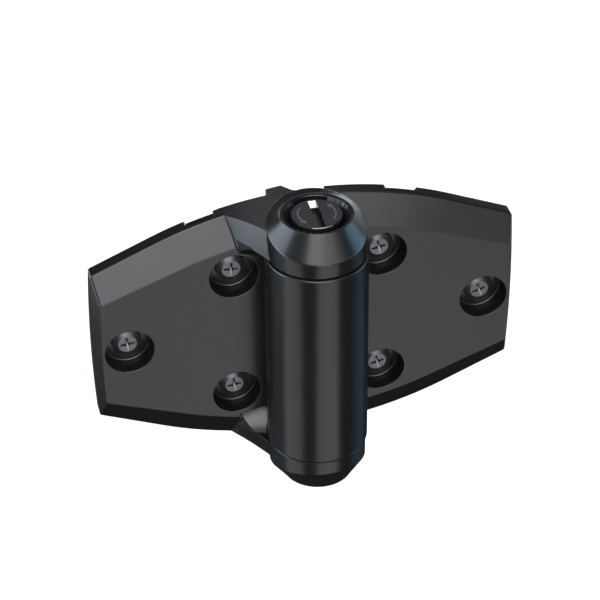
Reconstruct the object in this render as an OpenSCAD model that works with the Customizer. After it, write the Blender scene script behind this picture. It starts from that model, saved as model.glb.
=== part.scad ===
// Self-closing gate hinge, millimetres, +Z up, closed.
// Origin on the swing axis, level with the middle of the leaves.
// X runs along the gate, the leaves' back plane faces +Y.

/* [Barrel and knuckles] */

// radius of the round barrel of the post leaf
barrel_r = 20.0; // [18:0.1:22]
// half the length of the barrel
barrel_half = 44.2; // [40:0.1:46]
// height of the middle of the barrel above the middle of the leaves
barrel_mid = -0.85; // [-2:0.05:2]
// running gap between barrel and knuckle faces
seam_gap = 0.55; // [0.4:0.05:1]
// radius of the straight side of a knuckle
knuckle_r = 19.3; // [17:0.1:19.5]
// height of the straight side of a knuckle at the front
knuckle_side = 6.1; // [4:0.1:9]
// radius of the flat rim on top of a knuckle's cone
knuckle_rim_r = 14.26; // [13.8:0.02:15]
// height of a knuckle's cone at the front
cone_h = 10.85; // [7:0.05:12]
// height of a knuckle's cone at the back, where its slanted edge is highest
cone_back_h = 1.05; // [0.9:0.05:2]
// radius of the bore through the barrel
barrel_bore_r = 15.0; // [14:0.1:16]
// rounding of the barrel's end edges
barrel_edge = 0.7; // [0.3:0.1:1.2]

/* [Leaves] */

// distance from the swing axis to the front faces
face_y = 12.33; // [10:0.01:14]
// distance from the swing axis to the outer edge of the bevel
shoulder_y = 18.66; // [16:0.01:20]
// distance from the swing axis to the back plane
back_y = 24.2; // [22.5:0.1:26]
// rise of the outline over the end of the barrel, at the swing axis
rim_rise = 12.2; // [11:0.1:13.5]
// radius of the arched part of the outline
rim_arc_r = 154; // [140:1:170]
// slope of the outline's straight part towards the tips
rim_slope = 0.42; // [0.38:0.01:0.46]
// half length of the object at mid height
tip_x = 85.5; // [82:0.1:90]
// width of the bevel at the swing axis
bevel_w = 12.1; // [10:0.1:13]
// radius of the arched edge of a front face
face_arc_r = 147; // [135:1:160]
// slope of a front face's straight edge
face_slope = 0.37; // [0.34:0.01:0.42]
// half length over the front faces
face_tip_x = 82.86; // [80:0.1:84]
// radius of the slight bow of the tip edges
tip_bow_r = 600; // [400:10:900]
// running clearance between the gate leaf and the barrel
leaf_clear = 0.5; // [0.4:0.05:1]
// start of the post leaf's rim behind the knuckle
post_rim_x = 9.0; // [7:0.1:12]
// end of the gate leaf's rim behind the barrel
gate_rim_x = 2.5; // [1:0.1:5]
// depth of the cored pockets in the back
core_depth = 6.4; // [4:0.1:7]
// width of solid rim round the cored pockets
core_rim = 6.5; // [6:0.1:9]
// thickness of the ribs between the pockets
rib_t = 2.0; // [1.6:0.1:3]
// pitch of the ribs
rib_pitch = 13.0; // [11:0.5:15]
// start of the cored pockets from the swing axis
core_x = 27.5; // [26:0.5:32]
// depth of the shallow recess in the rim
relief_depth = 1.5; // [0.8:0.1:2]
// width of the shallow recess from the back plane
relief_width = 3.5; // [2:0.1:4.5]
// start of the shallow recess
relief_from = 33.0; // [32:0.5:36]
// end of the shallow recess
relief_to = 46.5; // [44:0.5:50]

/* [Screw wells] */

// distance of the two inner wells from the swing axis
inner_well_x = 29.73; // [29:0.01:32]
// height of the two inner wells
inner_well_z = 28.35; // [26:0.01:29]
// distance of the outer well from the swing axis
outer_well_x = 71.94; // [70:0.01:72.5]
// radius of a well
well_r = 9.7; // [8.5:0.05:9.9]
// thickness of plate left under a screw head
well_floor = 4.0; // [3:0.1:5]
// rounding at the bottom of a well
well_round = 0.7; // [0.4:0.1:1]
// radius of the hole for a screw
screw_hole_r = 3.1; // [2.9:0.05:3.4]
// wall of the boss round a well, at the back
boss_wall = 2.6; // [2:0.1:3.5]

/* [Screws] */

// radius of a screw head
head_r = 6.0; // [5.5:0.1:6.5]
// height of the head's straight edge
head_edge = 1.3; // [1:0.1:1.6]
// height of the head's conical part
head_cone = 1.4; // [1:0.1:1.8]
// radius of the bright flat on the head
head_flat_r = 3.72; // [3.4:0.02:4.2]
// radius of a screw's shank
shank_r = 2.75; // [2.4:0.05:2.85]
// length of the shank that stands out of the back plane
shank_out = 21.0; // [16:0.5:24]
// clearance round a screw's plain neck in its hole
neck_fit = 0.15; // [0.1:0.05:0.3]
// length of the neck that stands out of the back plane
neck_out = 0.5; // [0.3:0.1:1]
// length of a shank's point
shank_point = 4.0; // [3:0.5:6]
// width of the cross recess
cross_w = 1.3; // [1:0.1:1.6]
// length of the cross recess
cross_l = 6.6; // [5.5:0.1:7]
// depth of the cross recess
cross_depth = 2.0; // [1.5:0.1:2.4]
// turn of the gate leaf's screws
gate_screw_turn = 5; // [0:1:45]
// turn of the post leaf's screws
post_screw_turn = 18; // [0:1:45]

/* [Arms] */

// step from a knuckle's face to an arm's inner face
arm_step = 0.25; // [0.1:0.05:0.5]
// distance from the swing axis to an arm's corner at the leaf
arm_root_x = 32.5; // [31:0.1:33]
// distance from the swing axis to an arm's corner at the knuckle
arm_end_x = 19.2; // [19:0.1:20.5]
// forward reach of an arm past the swing axis
arm_end_y = 2.9; // [2:0.1:4]
// hollow of an arm's front face
arm_hollow = 0.9; // [0.3:0.1:1.2]
// radius of the fillet between leaf and arm
arm_fillet = 5.5; // [4:0.1:6.5]
// distance from the axis to the flank of the rear lug
lug_x = 13.2; // [12:0.1:16]
// distance from the axis to the corner of the rear lug
lug_peak_x = 7.0; // [6:0.1:8]
// height of the rear lug's corner over the back plane
lug_peak = 4.5; // [4:0.1:6]
// height of the rear lug's flank over the back plane
lug_flank = 3.9; // [3:0.1:5]

/* [Cap well and adjuster] */

// radius of the cap well at the rim
cap_well_r = 13.2; // [12.8:0.02:13.4]
// depth of the well's rim above the index ring
ring_drop = 0.45; // [0.3:0.05:0.8]
// length of the index ring
ring_l = 6.0; // [5:0.1:7]
// depth of the index ring's cone
ring_cone = 2.8; // [2:0.1:3.5]
// radius of the index ring's bore
ring_bore_r = 10.6; // [10.3:0.02:10.8]
// places round the ring that carry raised ticks
tick_places = 30; // [20:1:36]
// ticks left out at the back
tick_blank = 5; // [3:1:7]
// width of a tick
tick_w = 0.7; // [0.5:0.1:1]
// height of a tick over the cone
tick_h = 0.45; // [0.3:0.05:0.6]
// radius of the cap's face
cap_face_r = 9.59; // [9.2:0.01:9.7]
// radius of the cap
cap_r = 9.94; // [9.7:0.01:10.1]
// drop of the cap's face below the well's rim
cap_drop = 0.25; // [0.1:0.05:0.6]
// width of the cap's slot
slot_w = 3.1; // [2.6:0.1:3.4]
// depth of the cap's slot
slot_depth = 3.4; // [2.5:0.1:3.6]
// radius of the round recess in the middle of the slot
slot_mid_r = 1.9; // [1.7:0.1:2.4]
// travel of the cap when it is pushed down
push_travel = 2.5; // [2:0.1:3]
// radius of the middle of an arrow on the cap
arrow_r = 7.25; // [7:0.05:7.5]
// width of an arrow's line
arrow_w = 0.7; // [0.5:0.1:0.9]
// height of the arrows over the cap's face
arrow_h = 0.2; // [0.1:0.05:0.24]
// running clearance of round fits
run_fit = 0.05; // [0.03:0.01:0.08]
// radius of the adjuster housing
housing_r = 13.0; // [12.8:0.02:13.1]
// wall between the housing's bore and the spring seat
seat_r = 11.6; // [11.3:0.1:11.7]
// radius of the housing's lower bore
housing_bore_r = 12.0; // [11.9:0.05:12.1]
// number of locking teeth in the housing
tooth_count = 12; // [8:1:16]
// height of the locking teeth
tooth_h = 2.6; // [2:0.1:3]
// gap between teeth and lugs at rest
tooth_gap = 0.3; // [0.3:0.05:0.5]
// half width of the square that drives the spring seat
square_half = 4.5; // [4.2:0.1:4.7]
// sliding clearance on the square
square_fit = 0.1; // [0.08:0.01:0.15]

/* [Springs and inner parts] */

// wire thickness of the closing spring
spring_wire = 3.0; // [2.5:0.1:3.2]
// middle radius of the closing spring
spring_r = 8.8; // [8.4:0.1:9.2]
// curls of the closing spring
spring_curls = 14; // [10:1:15]
// wire thickness of the cap's return spring
return_wire = 1.2; // [1:0.1:1.3]
// middle radius of the return spring
return_r = 8.6; // [8.2:0.1:8.8]
// curls of the return spring
return_curls = 4; // [3:1:4]
// radius of the spindle
spindle_r = 4.0; // [3.6:0.1:4.2]
// radius of the spring anchor's bore and the arbor's nose
nose_r = 6.7; // [6.4:0.1:6.9]
// length of the noses that enter the closing spring
nose_l = 8.0; // [6:0.5:10]
// length of the arbor's square above the spindle's end
square_over = 8.0; // [6:0.5:10]
// depth of the tangs' holes in the two seats
tang_depth = 3.9; // [3:0.1:4]
// thickness of the two spring seats
seat_t = 5.0; // [4:0.1:6]
// wall of the liner round the closing spring
sleeve_wall = 1.4; // [1:0.1:2]
// radius of the bush pockets in the barrel
bush_r = 17.0; // [16.5:0.1:17.2]
// length of a bush
bush_l = 8.0; // [6:0.1:9]
// radius of a thrust washer
washer_r = 18.2; // [17.8:0.1:18.4]
// thickness of a thrust washer
washer_t = 1.3; // [1:0.1:1.6]
// width of the keys that stop inner parts from turning
key_w = 4.0; // [3:0.1:5]
// height of these keys
key_h = 1.2; // [1:0.1:1.4]
// clearance round keys and tangs
key_fit = 0.1; // [0.05:0.01:0.15]
// thickness of the clip under the lower pin
clip_t = 0.9; // [0.7:0.1:1.2]
// depth of the clip's groove in the spindle
clip_groove = 0.7; // [0.5:0.1:0.9]
// mouth of the clip
clip_mouth = 3.2; // [2.6:0.1:4]
// rim of the clip outside the spindle
clip_rim = 2.4; // [1.8:0.1:3]
// height of the end plug's skirt
plug_skirt = 4.2; // [3.5:0.1:5]
// thickness of the end plug's disc
plug_t = 2.4; // [2:0.1:3]

/* [Hidden] */
$fn = 96;
e = 0.01;
big = 200;

rim_half = barrel_half + rim_rise;
face_half = rim_half - bevel_w;
barrel_top = barrel_mid + barrel_half;
barrel_bot = barrel_mid - barrel_half;
knuckle_face = barrel_half + seam_gap;
knuckle_top = knuckle_face + knuckle_side + cone_h;
upper_face = barrel_mid + knuckle_face;
upper_top = barrel_mid + knuckle_top;
lower_face = barrel_mid - knuckle_face;
lower_top = barrel_mid - knuckle_top;

ring_top = upper_top - ring_drop;
ring_bot = ring_top - ring_l;
cap_top = upper_top - cap_drop;
housing_top = ring_bot;
housing_bot = barrel_top - washer_t - bush_l + seam_gap;
tooth_top = housing_top - 1.5;
tooth_bot = tooth_top - tooth_h;
lug_top = tooth_bot - tooth_gap;
lug_h = 2.4;
cap_bot = lug_top - lug_h;
lug_r = housing_bore_r - 0.25;
shank_top = ring_top - ring_cone - 1.0;
socket_top = cap_top - slot_depth - 1.2;
square_top = socket_top - push_travel - 0.3;
seat_top = housing_bot + 2.0;
seat_bot = seat_top - seat_t;
anchor_bot = barrel_bot + washer_t + bush_l;
anchor_top = anchor_bot + seat_t;
pin_top = anchor_bot - 0.4;
pin_bot = lower_top + plug_t + plug_skirt;
spindle_bot = pin_bot - clip_t - 1.2;
spindle_top = square_top - square_over;
spindle_bore_top = spindle_top + 0.05;
spring_bot = anchor_top + spring_wire / 2 + 0.05;
spring_top = seat_bot - spring_wire / 2 - 0.05;
spring_pitch = (spring_top - spring_bot) / spring_curls;
return_bot = seat_top + return_wire / 2 + 0.05;
return_top = cap_bot - return_wire / 2 - 0.05;
return_pitch = (return_top - return_bot) / return_curls;
well_floor_y = back_y - well_floor;
boss_r = well_r + boss_wall;
neck_r = screw_hole_r - neck_fit;

// outline of a leaf: an arch that runs on as a straight slope
function turn_x(r, s) = r * s / sqrt(1 + s * s);
function edge_z(x, half, r, s) =
    x < turn_x(r, s)
    ? half - r + sqrt(r * r - x * x)
    : half - r + sqrt(r * r - pow(turn_x(r, s), 2)) - s * (x - turn_x(r, s));
function bow_x(tip, z) = tip - z * z / (2 * tip_bow_r);
function corner_z(half, r, s, tip) =
    edge_z(bow_x(tip, edge_z(tip, half, r, s)), half, r, s);

// points of one leaf's outline, seen from the front, on the +X side
function leaf_points(x0, half, r, s, tip, n) =
    let (xt = turn_x(r, s))
    let (cz = corner_z(half, r, s, tip))
    let (top = [for (i = [0:n]) [x0 + (xt - x0) * i / n,
                                 edge_z(x0 + (xt - x0) * i / n, half, r, s)]])
    let (end = [for (i = [0:8]) [bow_x(tip, cz * (1 - i / 4)), cz * (1 - i / 4)]])
    let (low = [for (i = [n:-1:0]) [x0 + (xt - x0) * i / n,
                                    -edge_z(x0 + (xt - x0) * i / n, half, r, s)]])
    concat(top, end, low);

// a flat shape in X and Z, pushed from y0 back to y1
module slab_y(y0, y1) {
    translate([0, y1, 0])
        rotate([90, 0, 0])
            linear_extrude(y1 - y0)
                children();
}

// a round bar along Y from y0 to y1
module bar_y(r0, r1, y0, y1) {
    translate([0, y1, 0])
        rotate([90, 0, 0])
            cylinder(r1 = r1, r2 = r0, h = y1 - y0);
}

// a round bar along Z from z0 to z1
module bar_z(r0, r1, z0, z1) {
    translate([0, 0, z0])
        cylinder(r1 = r0, r2 = r1, h = z1 - z0);
}

module outer_outline(x0) {
    polygon(leaf_points(x0, rim_half, rim_arc_r, rim_slope, tip_x, 26));
}

module face_outline(x0) {
    polygon(leaf_points(x0, face_half, face_arc_r, face_slope, face_tip_x, 26));
}

// the bevelled plate of the post side, from x0 to the tip
module plate(x0) {
    slab_y(shoulder_y, back_y)
        outer_outline(x0);
    hull() {
        slab_y(shoulder_y - e, shoulder_y)
            outer_outline(x0);
        slab_y(face_y, face_y + e)
            face_outline(x0);
    }
}

module well_spots() {
    for (s = [-1, 1])
        translate([inner_well_x, 0, s * inner_well_z])
            children();
    translate([outer_well_x, 0, 0])
        children();
}

// one screw well with a rounded bottom corner, and its hole
module well() {
    rotate([90, 0, 0])
        rotate_extrude()
            polygon(concat(
                [[0, -well_floor_y], [well_r - well_round, -well_floor_y]],
                [for (a = [15:15:90]) [well_r - well_round + well_round * sin(a),
                                       -well_floor_y + well_round * (1 - cos(a))]],
                [[well_r, -face_y + 1], [0, -face_y + 1]]));
    bar_y(screw_hole_r, screw_hole_r, well_floor_y - 1, back_y + 1);
}

// pockets in the back between ribs, clear of the bosses
module cores() {
    difference() {
        slab_y(back_y - core_depth, back_y + 1)
            polygon(leaf_points(core_x, rim_half - core_rim, rim_arc_r - core_rim,
                                rim_slope, tip_x - core_rim, 12));
        for (i = [0:3])
            translate([core_x + rib_pitch * (i + 0.85), 0, -big / 2])
                cube([rib_t, big, big]);
        for (i = [-3:3])
            translate([0, 0, rib_pitch * i - rib_t / 2])
                cube([big, big, rib_t]);
        well_spots()
            bar_y(boss_r, boss_r, back_y - core_depth - 1, back_y + 2);
    }
}

// shallow recess in the rear of the rim, top and bottom
module rim_reliefs() {
    for (s = [0, 1])
        mirror([0, 0, s])
            slab_y(back_y - relief_width, back_y + 1)
                polygon(concat(
                    [[relief_from, rim_half + 4]],
                    [[relief_from, edge_z(relief_from, rim_half, rim_arc_r, rim_slope)]],
                    [for (i = [0:5])
                        let (x = relief_from + 1
                             + (relief_to - relief_from - 2) * i / 5)
                        [x, edge_z(x, rim_half, rim_arc_r, rim_slope) - relief_depth]],
                    [[relief_to, edge_z(relief_to, rim_half, rim_arc_r, rim_slope)]],
                    [[relief_to, rim_half + 4]]));
}

// plate with everything that both leaves share
module leaf(x0) {
    difference() {
        plate(x0);
        well_spots()
            well();
        cores();
        rim_reliefs();
    }
}

// closed ring profile of the barrel with rounded end edges
module barrel_body() {
    rotate_extrude()
        polygon(concat(
            [[0, barrel_bot], [barrel_r - barrel_edge, barrel_bot]],
            [for (a = [15:15:90]) [barrel_r - barrel_edge + barrel_edge * sin(a),
                                   barrel_bot + barrel_edge * (1 - cos(a))]],
            [for (a = [0:15:90]) [barrel_r - barrel_edge + barrel_edge * cos(a),
                                  barrel_top - barrel_edge + barrel_edge * sin(a)]],
            [[0, barrel_top]]));
}

module post_leaf() {
    color([0.16, 0.16, 0.17])
        difference() {
            union() {
                difference() {
                    leaf(post_rim_x);
                    bar_z(knuckle_r + leaf_clear, knuckle_r + leaf_clear,
                          barrel_top - 1, big);
                    bar_z(knuckle_r + leaf_clear, knuckle_r + leaf_clear,
                          -big, barrel_bot + 1);
                }
                barrel_body();
            }
            bar_z(barrel_bore_r, barrel_bore_r, barrel_bot - 1, barrel_top + 1);
            bar_z(bush_r, bush_r, barrel_top - washer_t - bush_l + seam_gap - 0.1,
                  barrel_top + 1);
            bar_z(bush_r, bush_r, barrel_bot - 1,
                  barrel_bot + washer_t + bush_l - seam_gap + 0.1);
            bar_z(washer_r + 0.1, washer_r + 0.1,
                  barrel_top - washer_t + seam_gap - 0.1, barrel_top + 1);
            bar_z(washer_r + 0.1, washer_r + 0.1, barrel_bot - 1,
                  barrel_bot + washer_t - seam_gap + 0.1);
            key_bars(barrel_bore_r, key_fit, barrel_bot, anchor_top + key_fit);
        }
}

// two keys on opposite sides of a round part
module key_bars(r, fit, z0, z1) {
    for (a = [0, 180])
        rotate([0, 0, a])
            translate([r - 1, -key_w / 2 - fit, z0])
                cube([key_h + 1 + fit, key_w + 2 * fit, z1 - z0]);
}

// plan of an arm: hollow front face, rear lug and an end inside the knuckle
module arm_plan() {
    polygon(concat(
        [[-arm_root_x - 3, back_y], [-arm_root_x - 3, shoulder_y + 0.5]],
        [for (i = [0:8])
            let (t = i / 8)
            let (dx = arm_root_x - arm_end_x)
            let (dy = shoulder_y + arm_end_y)
            let (w = arm_hollow * 4 * t * (1 - t) / sqrt(dx * dx + dy * dy))
            [-arm_root_x + dx * t + dy * w, shoulder_y - dy * t + dx * w]],
        [[-arm_end_x + 2.2, -arm_end_y - 0.6], [-2, -2], [-1, 10]],
        [[-gate_rim_x - 0.6, back_y - 0.4], [-lug_peak_x, back_y + lug_peak],
         [-lug_x, back_y + lug_flank], [-lug_x, back_y]]));
}

// the area under the leaf's arch, from the swing axis to past the arm
module arch_area() {
    polygon(concat(
        [[0.5, 0]],
        [for (i = [0:12]) [0.5 - 38 * i / 12,
                           edge_z(abs(0.5 - 38 * i / 12), rim_half, rim_arc_r,
                                  rim_slope)]],
        [[-37.5, 0]]));
}

// round part of a knuckle: a straight side that ends at a slanted edge, low at the
// front and high at the back, and a cone from that edge to the flat round rim
module knuckle_body() {
    seat = knuckle_top - 0.45;
    over = knuckle_r + 1.5;
    grow = (over - knuckle_rim_r) / (knuckle_r - knuckle_rim_r);
    front = seat - (seat - knuckle_face - knuckle_side) * grow;
    back = seat - (seat - knuckle_top + cone_back_h) * grow;
    intersection() {
        rotate_extrude()
            polygon([[0, knuckle_face], [knuckle_r - 0.4, knuckle_face],
                     [knuckle_r, knuckle_face + 0.4], [knuckle_r, knuckle_top],
                     [0, knuckle_top]]);
        // the cone, drawn past the straight side so that both meet at one edge
        hull() {
            translate([0, 0, seat - 0.1])
                cylinder(r = knuckle_rim_r, h = 0.1, $fn = 160);
            multmatrix([[1, 0, 0, 0], [0, 1, 0, 0],
                        [0, (back - front) / (2 * over), 1, (back + front) / 2 - 30]])
                cylinder(r = over, h = 30, $fn = 160);
        }
    }
    rotate_extrude()
        polygon([[0, seat - 0.6], [knuckle_rim_r - 0.1, seat - 0.6],
                 [knuckle_rim_r - 0.03, seat], [knuckle_rim_r - 0.15, knuckle_top - 0.12],
                 [knuckle_rim_r - 0.45, knuckle_top], [cap_well_r + 0.3, knuckle_top],
                 [cap_well_r - 1, knuckle_top - 0.3], [0, knuckle_top - 0.3]]);
}

// one arm with its knuckle, made for the upper end
module arm_and_knuckle() {
    intersection() {
        translate([0, 0, knuckle_face + arm_step])
            linear_extrude(cone_h + knuckle_side)
                arm_plan();
        translate([0, 0, -barrel_mid])
            slab_y(-10, 40)
                arch_area();
    }
    knuckle_body();
    // the fillet ends where the arm's front face ends
    intersection() {
        difference() {
            translate([-arm_root_x, face_y - arm_fillet,
                       knuckle_face + arm_step - arm_fillet])
                cube([arm_root_x - 12, arm_fillet + 2, arm_fillet + 1]);
            translate([-arm_root_x - 1, face_y - arm_fillet,
                       knuckle_face + arm_step - arm_fillet])
                rotate([0, 90, 0])
                    cylinder(r = arm_fillet, h = arm_root_x);
        }
        translate([0, 0, knuckle_face + arm_step - arm_fillet - 1])
            linear_extrude(arm_fillet + 3)
                arm_plan();
    }
}

module gate_leaf() {
    color([0.17, 0.17, 0.18])
        difference() {
            union() {
                mirror([1, 0, 0])
                    leaf(gate_rim_x);
                translate([0, 0, barrel_mid])
                    for (s = [0, 1])
                        mirror([0, 0, s])
                            arm_and_knuckle();
            }
            bar_z(barrel_r + leaf_clear, barrel_r + leaf_clear, lower_face, upper_face);
            bar_z(housing_r, housing_r, upper_face - 1, ring_bot);
            bar_z(cap_well_r, cap_well_r, ring_bot, upper_top + 1);
            key_bars(housing_r, key_fit, upper_face - 1, ring_bot);
            bar_z(housing_r, housing_r, lower_top + 1.2, lower_face + 1);
            bar_z(cap_well_r, cap_well_r, lower_top - 1, lower_top + plug_t + 0.5);
        }
}

// one screw: conical head with a bright flat and a cross recess, shank and point
module screw(turn) {
    difference() {
        union() {
            bar_y(head_r, head_r, well_floor_y - head_edge, well_floor_y);
            bar_y(head_flat_r, head_r, well_floor_y - head_edge - head_cone,
                  well_floor_y - head_edge);
            bar_y(neck_r, neck_r, well_floor_y - 0.5, back_y + neck_out);
            bar_y(shank_r, shank_r, back_y + neck_out - 0.5,
                  back_y + shank_out - shank_point);
            bar_y(shank_r, 0.4, back_y + shank_out - shank_point, back_y + shank_out);
        }
        for (a = [0, 90])
            rotate([0, a + turn, 0])
                translate([-cross_l / 2, well_floor_y - head_edge - head_cone - 1,
                           -cross_w / 2])
                    cube([cross_l, cross_depth + 1, cross_w]);
    }
}

module post_screws() {
    color([0.30, 0.30, 0.31])
        well_spots()
            screw(post_screw_turn);
}

module gate_screws() {
    color([0.30, 0.30, 0.31])
        mirror([1, 0, 0])
            well_spots()
                screw(gate_screw_turn);
}

// a plain ring between two radii
module ring_z(r_out, r_in, z0, z1) {
    difference() {
        bar_z(r_out, r_out, z0, z1);
        bar_z(r_in, r_in, z0 - 1, z1 + 1);
    }
}

module upper_bush() {
    color([0.80, 0.79, 0.74])
        ring_z(bush_r, housing_r + run_fit,
               barrel_top - washer_t - bush_l + seam_gap - 0.1,
               barrel_top - washer_t + seam_gap - 0.1);
}

module lower_bush() {
    color([0.80, 0.79, 0.74])
        ring_z(bush_r, housing_r + run_fit,
               barrel_bot + washer_t - seam_gap + 0.1,
               barrel_bot + washer_t + bush_l - seam_gap + 0.1);
}

module upper_washer() {
    color([0.10, 0.10, 0.11])
        ring_z(washer_r, housing_r + 0.4, upper_face - washer_t - 0.05,
               upper_face - 0.05);
}

module lower_washer() {
    color([0.10, 0.10, 0.11])
        ring_z(washer_r, housing_r + 0.4, lower_face + 0.05,
               lower_face + washer_t + 0.05);
}

// coned ring with raised ticks, plain at the back
module index_ring() {
    color([0.20, 0.20, 0.21])
        union() {
            difference() {
                bar_z(cap_well_r, cap_well_r, ring_bot, ring_top);
                bar_z(ring_bore_r, ring_bore_r, ring_bot - 1, ring_top + 1);
                bar_z(ring_bore_r, cap_well_r - 0.3, ring_top - ring_cone,
                      ring_top + e);
            }
            difference() {
                for (i = [0:tick_places - tick_blank - 1])
                    rotate([0, 0, 90 + (i + (tick_blank + 1) / 2) * 360 / tick_places])
                        translate([ring_bore_r, -tick_w / 2, ring_top - ring_cone])
                            cube([cap_well_r - ring_bore_r - 0.2, tick_w, ring_cone]);
                bar_z(ring_bore_r + 0.05, cap_well_r - 0.3 + 0.05,
                      ring_top - ring_cone + tick_h, ring_top + tick_h + 0.1);
            }
        }
}

module adjuster_housing() {
    color([0.62, 0.60, 0.52])
        difference() {
            union() {
                bar_z(housing_r, housing_r, housing_bot, housing_top);
                key_bars(housing_r, 0, upper_face + 1, housing_top);
            }
            bar_z(ring_bore_r, ring_bore_r, housing_bot - 1, housing_top + 1);
            bar_z(housing_bore_r, housing_bore_r, housing_bot - 1, tooth_bot);
            for (i = [0:tooth_count - 1])
                rotate([0, 0, i * 360 / tooth_count])
                    translate([0, -1.5, tooth_bot - 1])
                        cube([housing_bore_r, 3.0, tooth_h + 1]);
        }
}

// one curved arrow on the cap, as a bar bent round the slot
module arrow() {
    difference() {
        bar_z(arrow_r + arrow_w / 2, arrow_r + arrow_w / 2, cap_top - 0.5,
              cap_top + arrow_h);
        bar_z(arrow_r - arrow_w / 2, arrow_r - arrow_w / 2, cap_top - 1, cap_top + 1);
        translate([-big / 2, -big, cap_top - 2])
            cube([big, big, 4]);
        rotate([0, 0, -55])
            translate([-big / 2, 0, cap_top - 2])
                cube([big, big, 4]);
    }
    rotate([0, 0, 125])
        translate([arrow_r, 0, cap_top - 0.5])
            linear_extrude(0.5 + arrow_h)
                polygon([[-1.3, 0.2], [1.3, -0.3], [0.2, 2.2]]);
}

module adjuster() {
    color([0.14, 0.14, 0.15])
        difference() {
            union() {
                bar_z(cap_r, cap_r, shank_top - 1, cap_top - 0.4);
                bar_z(cap_r, cap_face_r, cap_top - 0.4, cap_top);
                bar_z(ring_bore_r - run_fit, ring_bore_r - run_fit, cap_bot, shank_top);
                intersection() {
                    bar_z(lug_r, lug_r, cap_bot, lug_top);
                    for (i = [0:tooth_count / 3 - 1])
                        rotate([0, 0, i * 3 * 360 / tooth_count])
                            translate([0, -1.2, cap_bot - 1])
                                cube([big, 2.4, lug_h + 2]);
                }
                rotate([0, 0, 55])
                    arrow();
                rotate([0, 0, 235])
                    arrow();
            }
            translate([-slot_w / 2, -big / 2, cap_top - slot_depth])
                cube([slot_w, big, slot_depth + 2]);
            bar_z(slot_mid_r, slot_mid_r, cap_top - slot_depth, cap_top + 1);
            translate([0, 0, cap_bot - 1])
                linear_extrude(socket_top - cap_bot + 1)
                    square(2 * (square_half + square_fit), center = true);
            rotate_extrude()
                translate([ring_bore_r - 0.95, shank_top - 1.9])
                    square([2, 1.9], center = true);
        }
}

module adjuster_seal() {
    color([0.05, 0.05, 0.05])
        rotate_extrude()
            translate([ring_bore_r - 0.02 - 0.9, shank_top - 1.9])
                circle(0.9, $fn = 24);
}

// points of a wound wire with its two tangs, one end to the other
function coil_points(r, z0, pitch, curls, tang, rings) =
    concat(
        tang > 0 ? [[r, 0, z0 - tang], [r, 0, z0 - tang * 0.4]] : [],
        [for (i = [0:curls * rings])
            let (a = i * 360 / rings)
            [r * cos(a), r * sin(a), z0 + pitch * i / rings]],
        tang > 0 ? [[r, 0, z0 + pitch * curls + tang * 0.4],
                    [r, 0, z0 + pitch * curls + tang]] : []);

function unit(v) = v / norm(v);

// rings of six points, square to the wire, joined in one unbroken tube
module wire(pts, w) {
    n = len(pts);
    sides = 6;
    dirs = [for (i = [0:n - 1])
        unit(pts[min(i + 1, n - 1)] - pts[max(i - 1, 0)])];
    verts = [for (i = [0:n - 1])
        let (out = unit([pts[i][0], pts[i][1], 0]))
        let (side = unit(out - dirs[i] * (out * dirs[i])))
        let (up = cross(dirs[i], side))
        for (k = [0:sides - 1])
            pts[i] + w / 2 * (side * cos(k * 60) + up * sin(k * 60))];
    skin = [for (i = [0:n - 2])
        for (k = [0:sides - 1])
            for (h = [0, 1])
                let (a = i * sides + k)
                let (b = i * sides + (k + 1) % sides)
                h == 0 ? [a, a + sides, b] : [b, a + sides, b + sides]];
    ends = concat(
        [for (k = [1:sides - 2]) [0, k, k + 1]],
        [for (k = [1:sides - 2]) [(n - 1) * sides, (n - 1) * sides + k + 1,
                                  (n - 1) * sides + k]]);
    polyhedron(points = verts, faces = concat(skin, ends), convexity = 10);
}

spring_points = coil_points(spring_r, spring_bot, spring_pitch, spring_curls, 3.2, 8);
return_points = coil_points(return_r, return_bot, return_pitch, return_curls, 0, 8);

// least gap of a wound wire to itself, over points one turn or more apart
function self_gap(p, w, rings) =
    min([for (i = [2:len(p) - 3])
        for (j = [i + rings - 2:min(i + rings + 2, len(p) - 3)])
            norm(p[i] - p[j]) - w]);
echo("closing spring, least gap to itself", self_gap(spring_points, spring_wire, 8));
echo("return spring, least gap to itself", self_gap(return_points, return_wire, 8));

module torsion_spring() {
    color([0.62, 0.63, 0.65])
        wire(spring_points, spring_wire);
}

module return_spring() {
    color([0.62, 0.63, 0.65])
        wire(return_points, return_wire);
}

// hole for a spring's tang
module tang_hole(z0, z1) {
    translate([spring_r, 0, z0])
        cylinder(r = spring_wire / 2 + 0.15, h = z1 - z0, $fn = 24);
}

module spring_arbor() {
    color([0.55, 0.56, 0.58])
        difference() {
            union() {
                bar_z(seat_r, seat_r, seat_bot, seat_top);
                bar_z(nose_r, nose_r, seat_bot - nose_l, seat_bot + e);
                translate([0, 0, seat_top - e])
                    linear_extrude(square_top - seat_top + e)
                        square(2 * square_half, center = true);
            }
            bar_z(spindle_r + run_fit, spindle_r + run_fit, seat_bot - nose_l - 1,
                  spindle_bore_top);
            tang_hole(seat_bot - 1, seat_bot + tang_depth);
        }
}

module spring_anchor() {
    color([0.55, 0.56, 0.58])
        difference() {
            union() {
                bar_z(barrel_bore_r, barrel_bore_r, anchor_bot, anchor_top);
                bar_z(nose_r, nose_r, anchor_top - e, anchor_top + nose_l);
                key_bars(barrel_bore_r, 0, anchor_bot, anchor_top);
            }
            bar_z(spindle_r + 0.3, spindle_r + 0.3, anchor_bot - 1,
                  anchor_top + nose_l + 1);
            tang_hole(anchor_top - tang_depth, anchor_top + 1);
        }
}

module spring_sleeve() {
    color([0.86, 0.85, 0.80])
        ring_z(barrel_bore_r, barrel_bore_r - sleeve_wall, anchor_top,
               housing_bot - 0.6);
}

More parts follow.
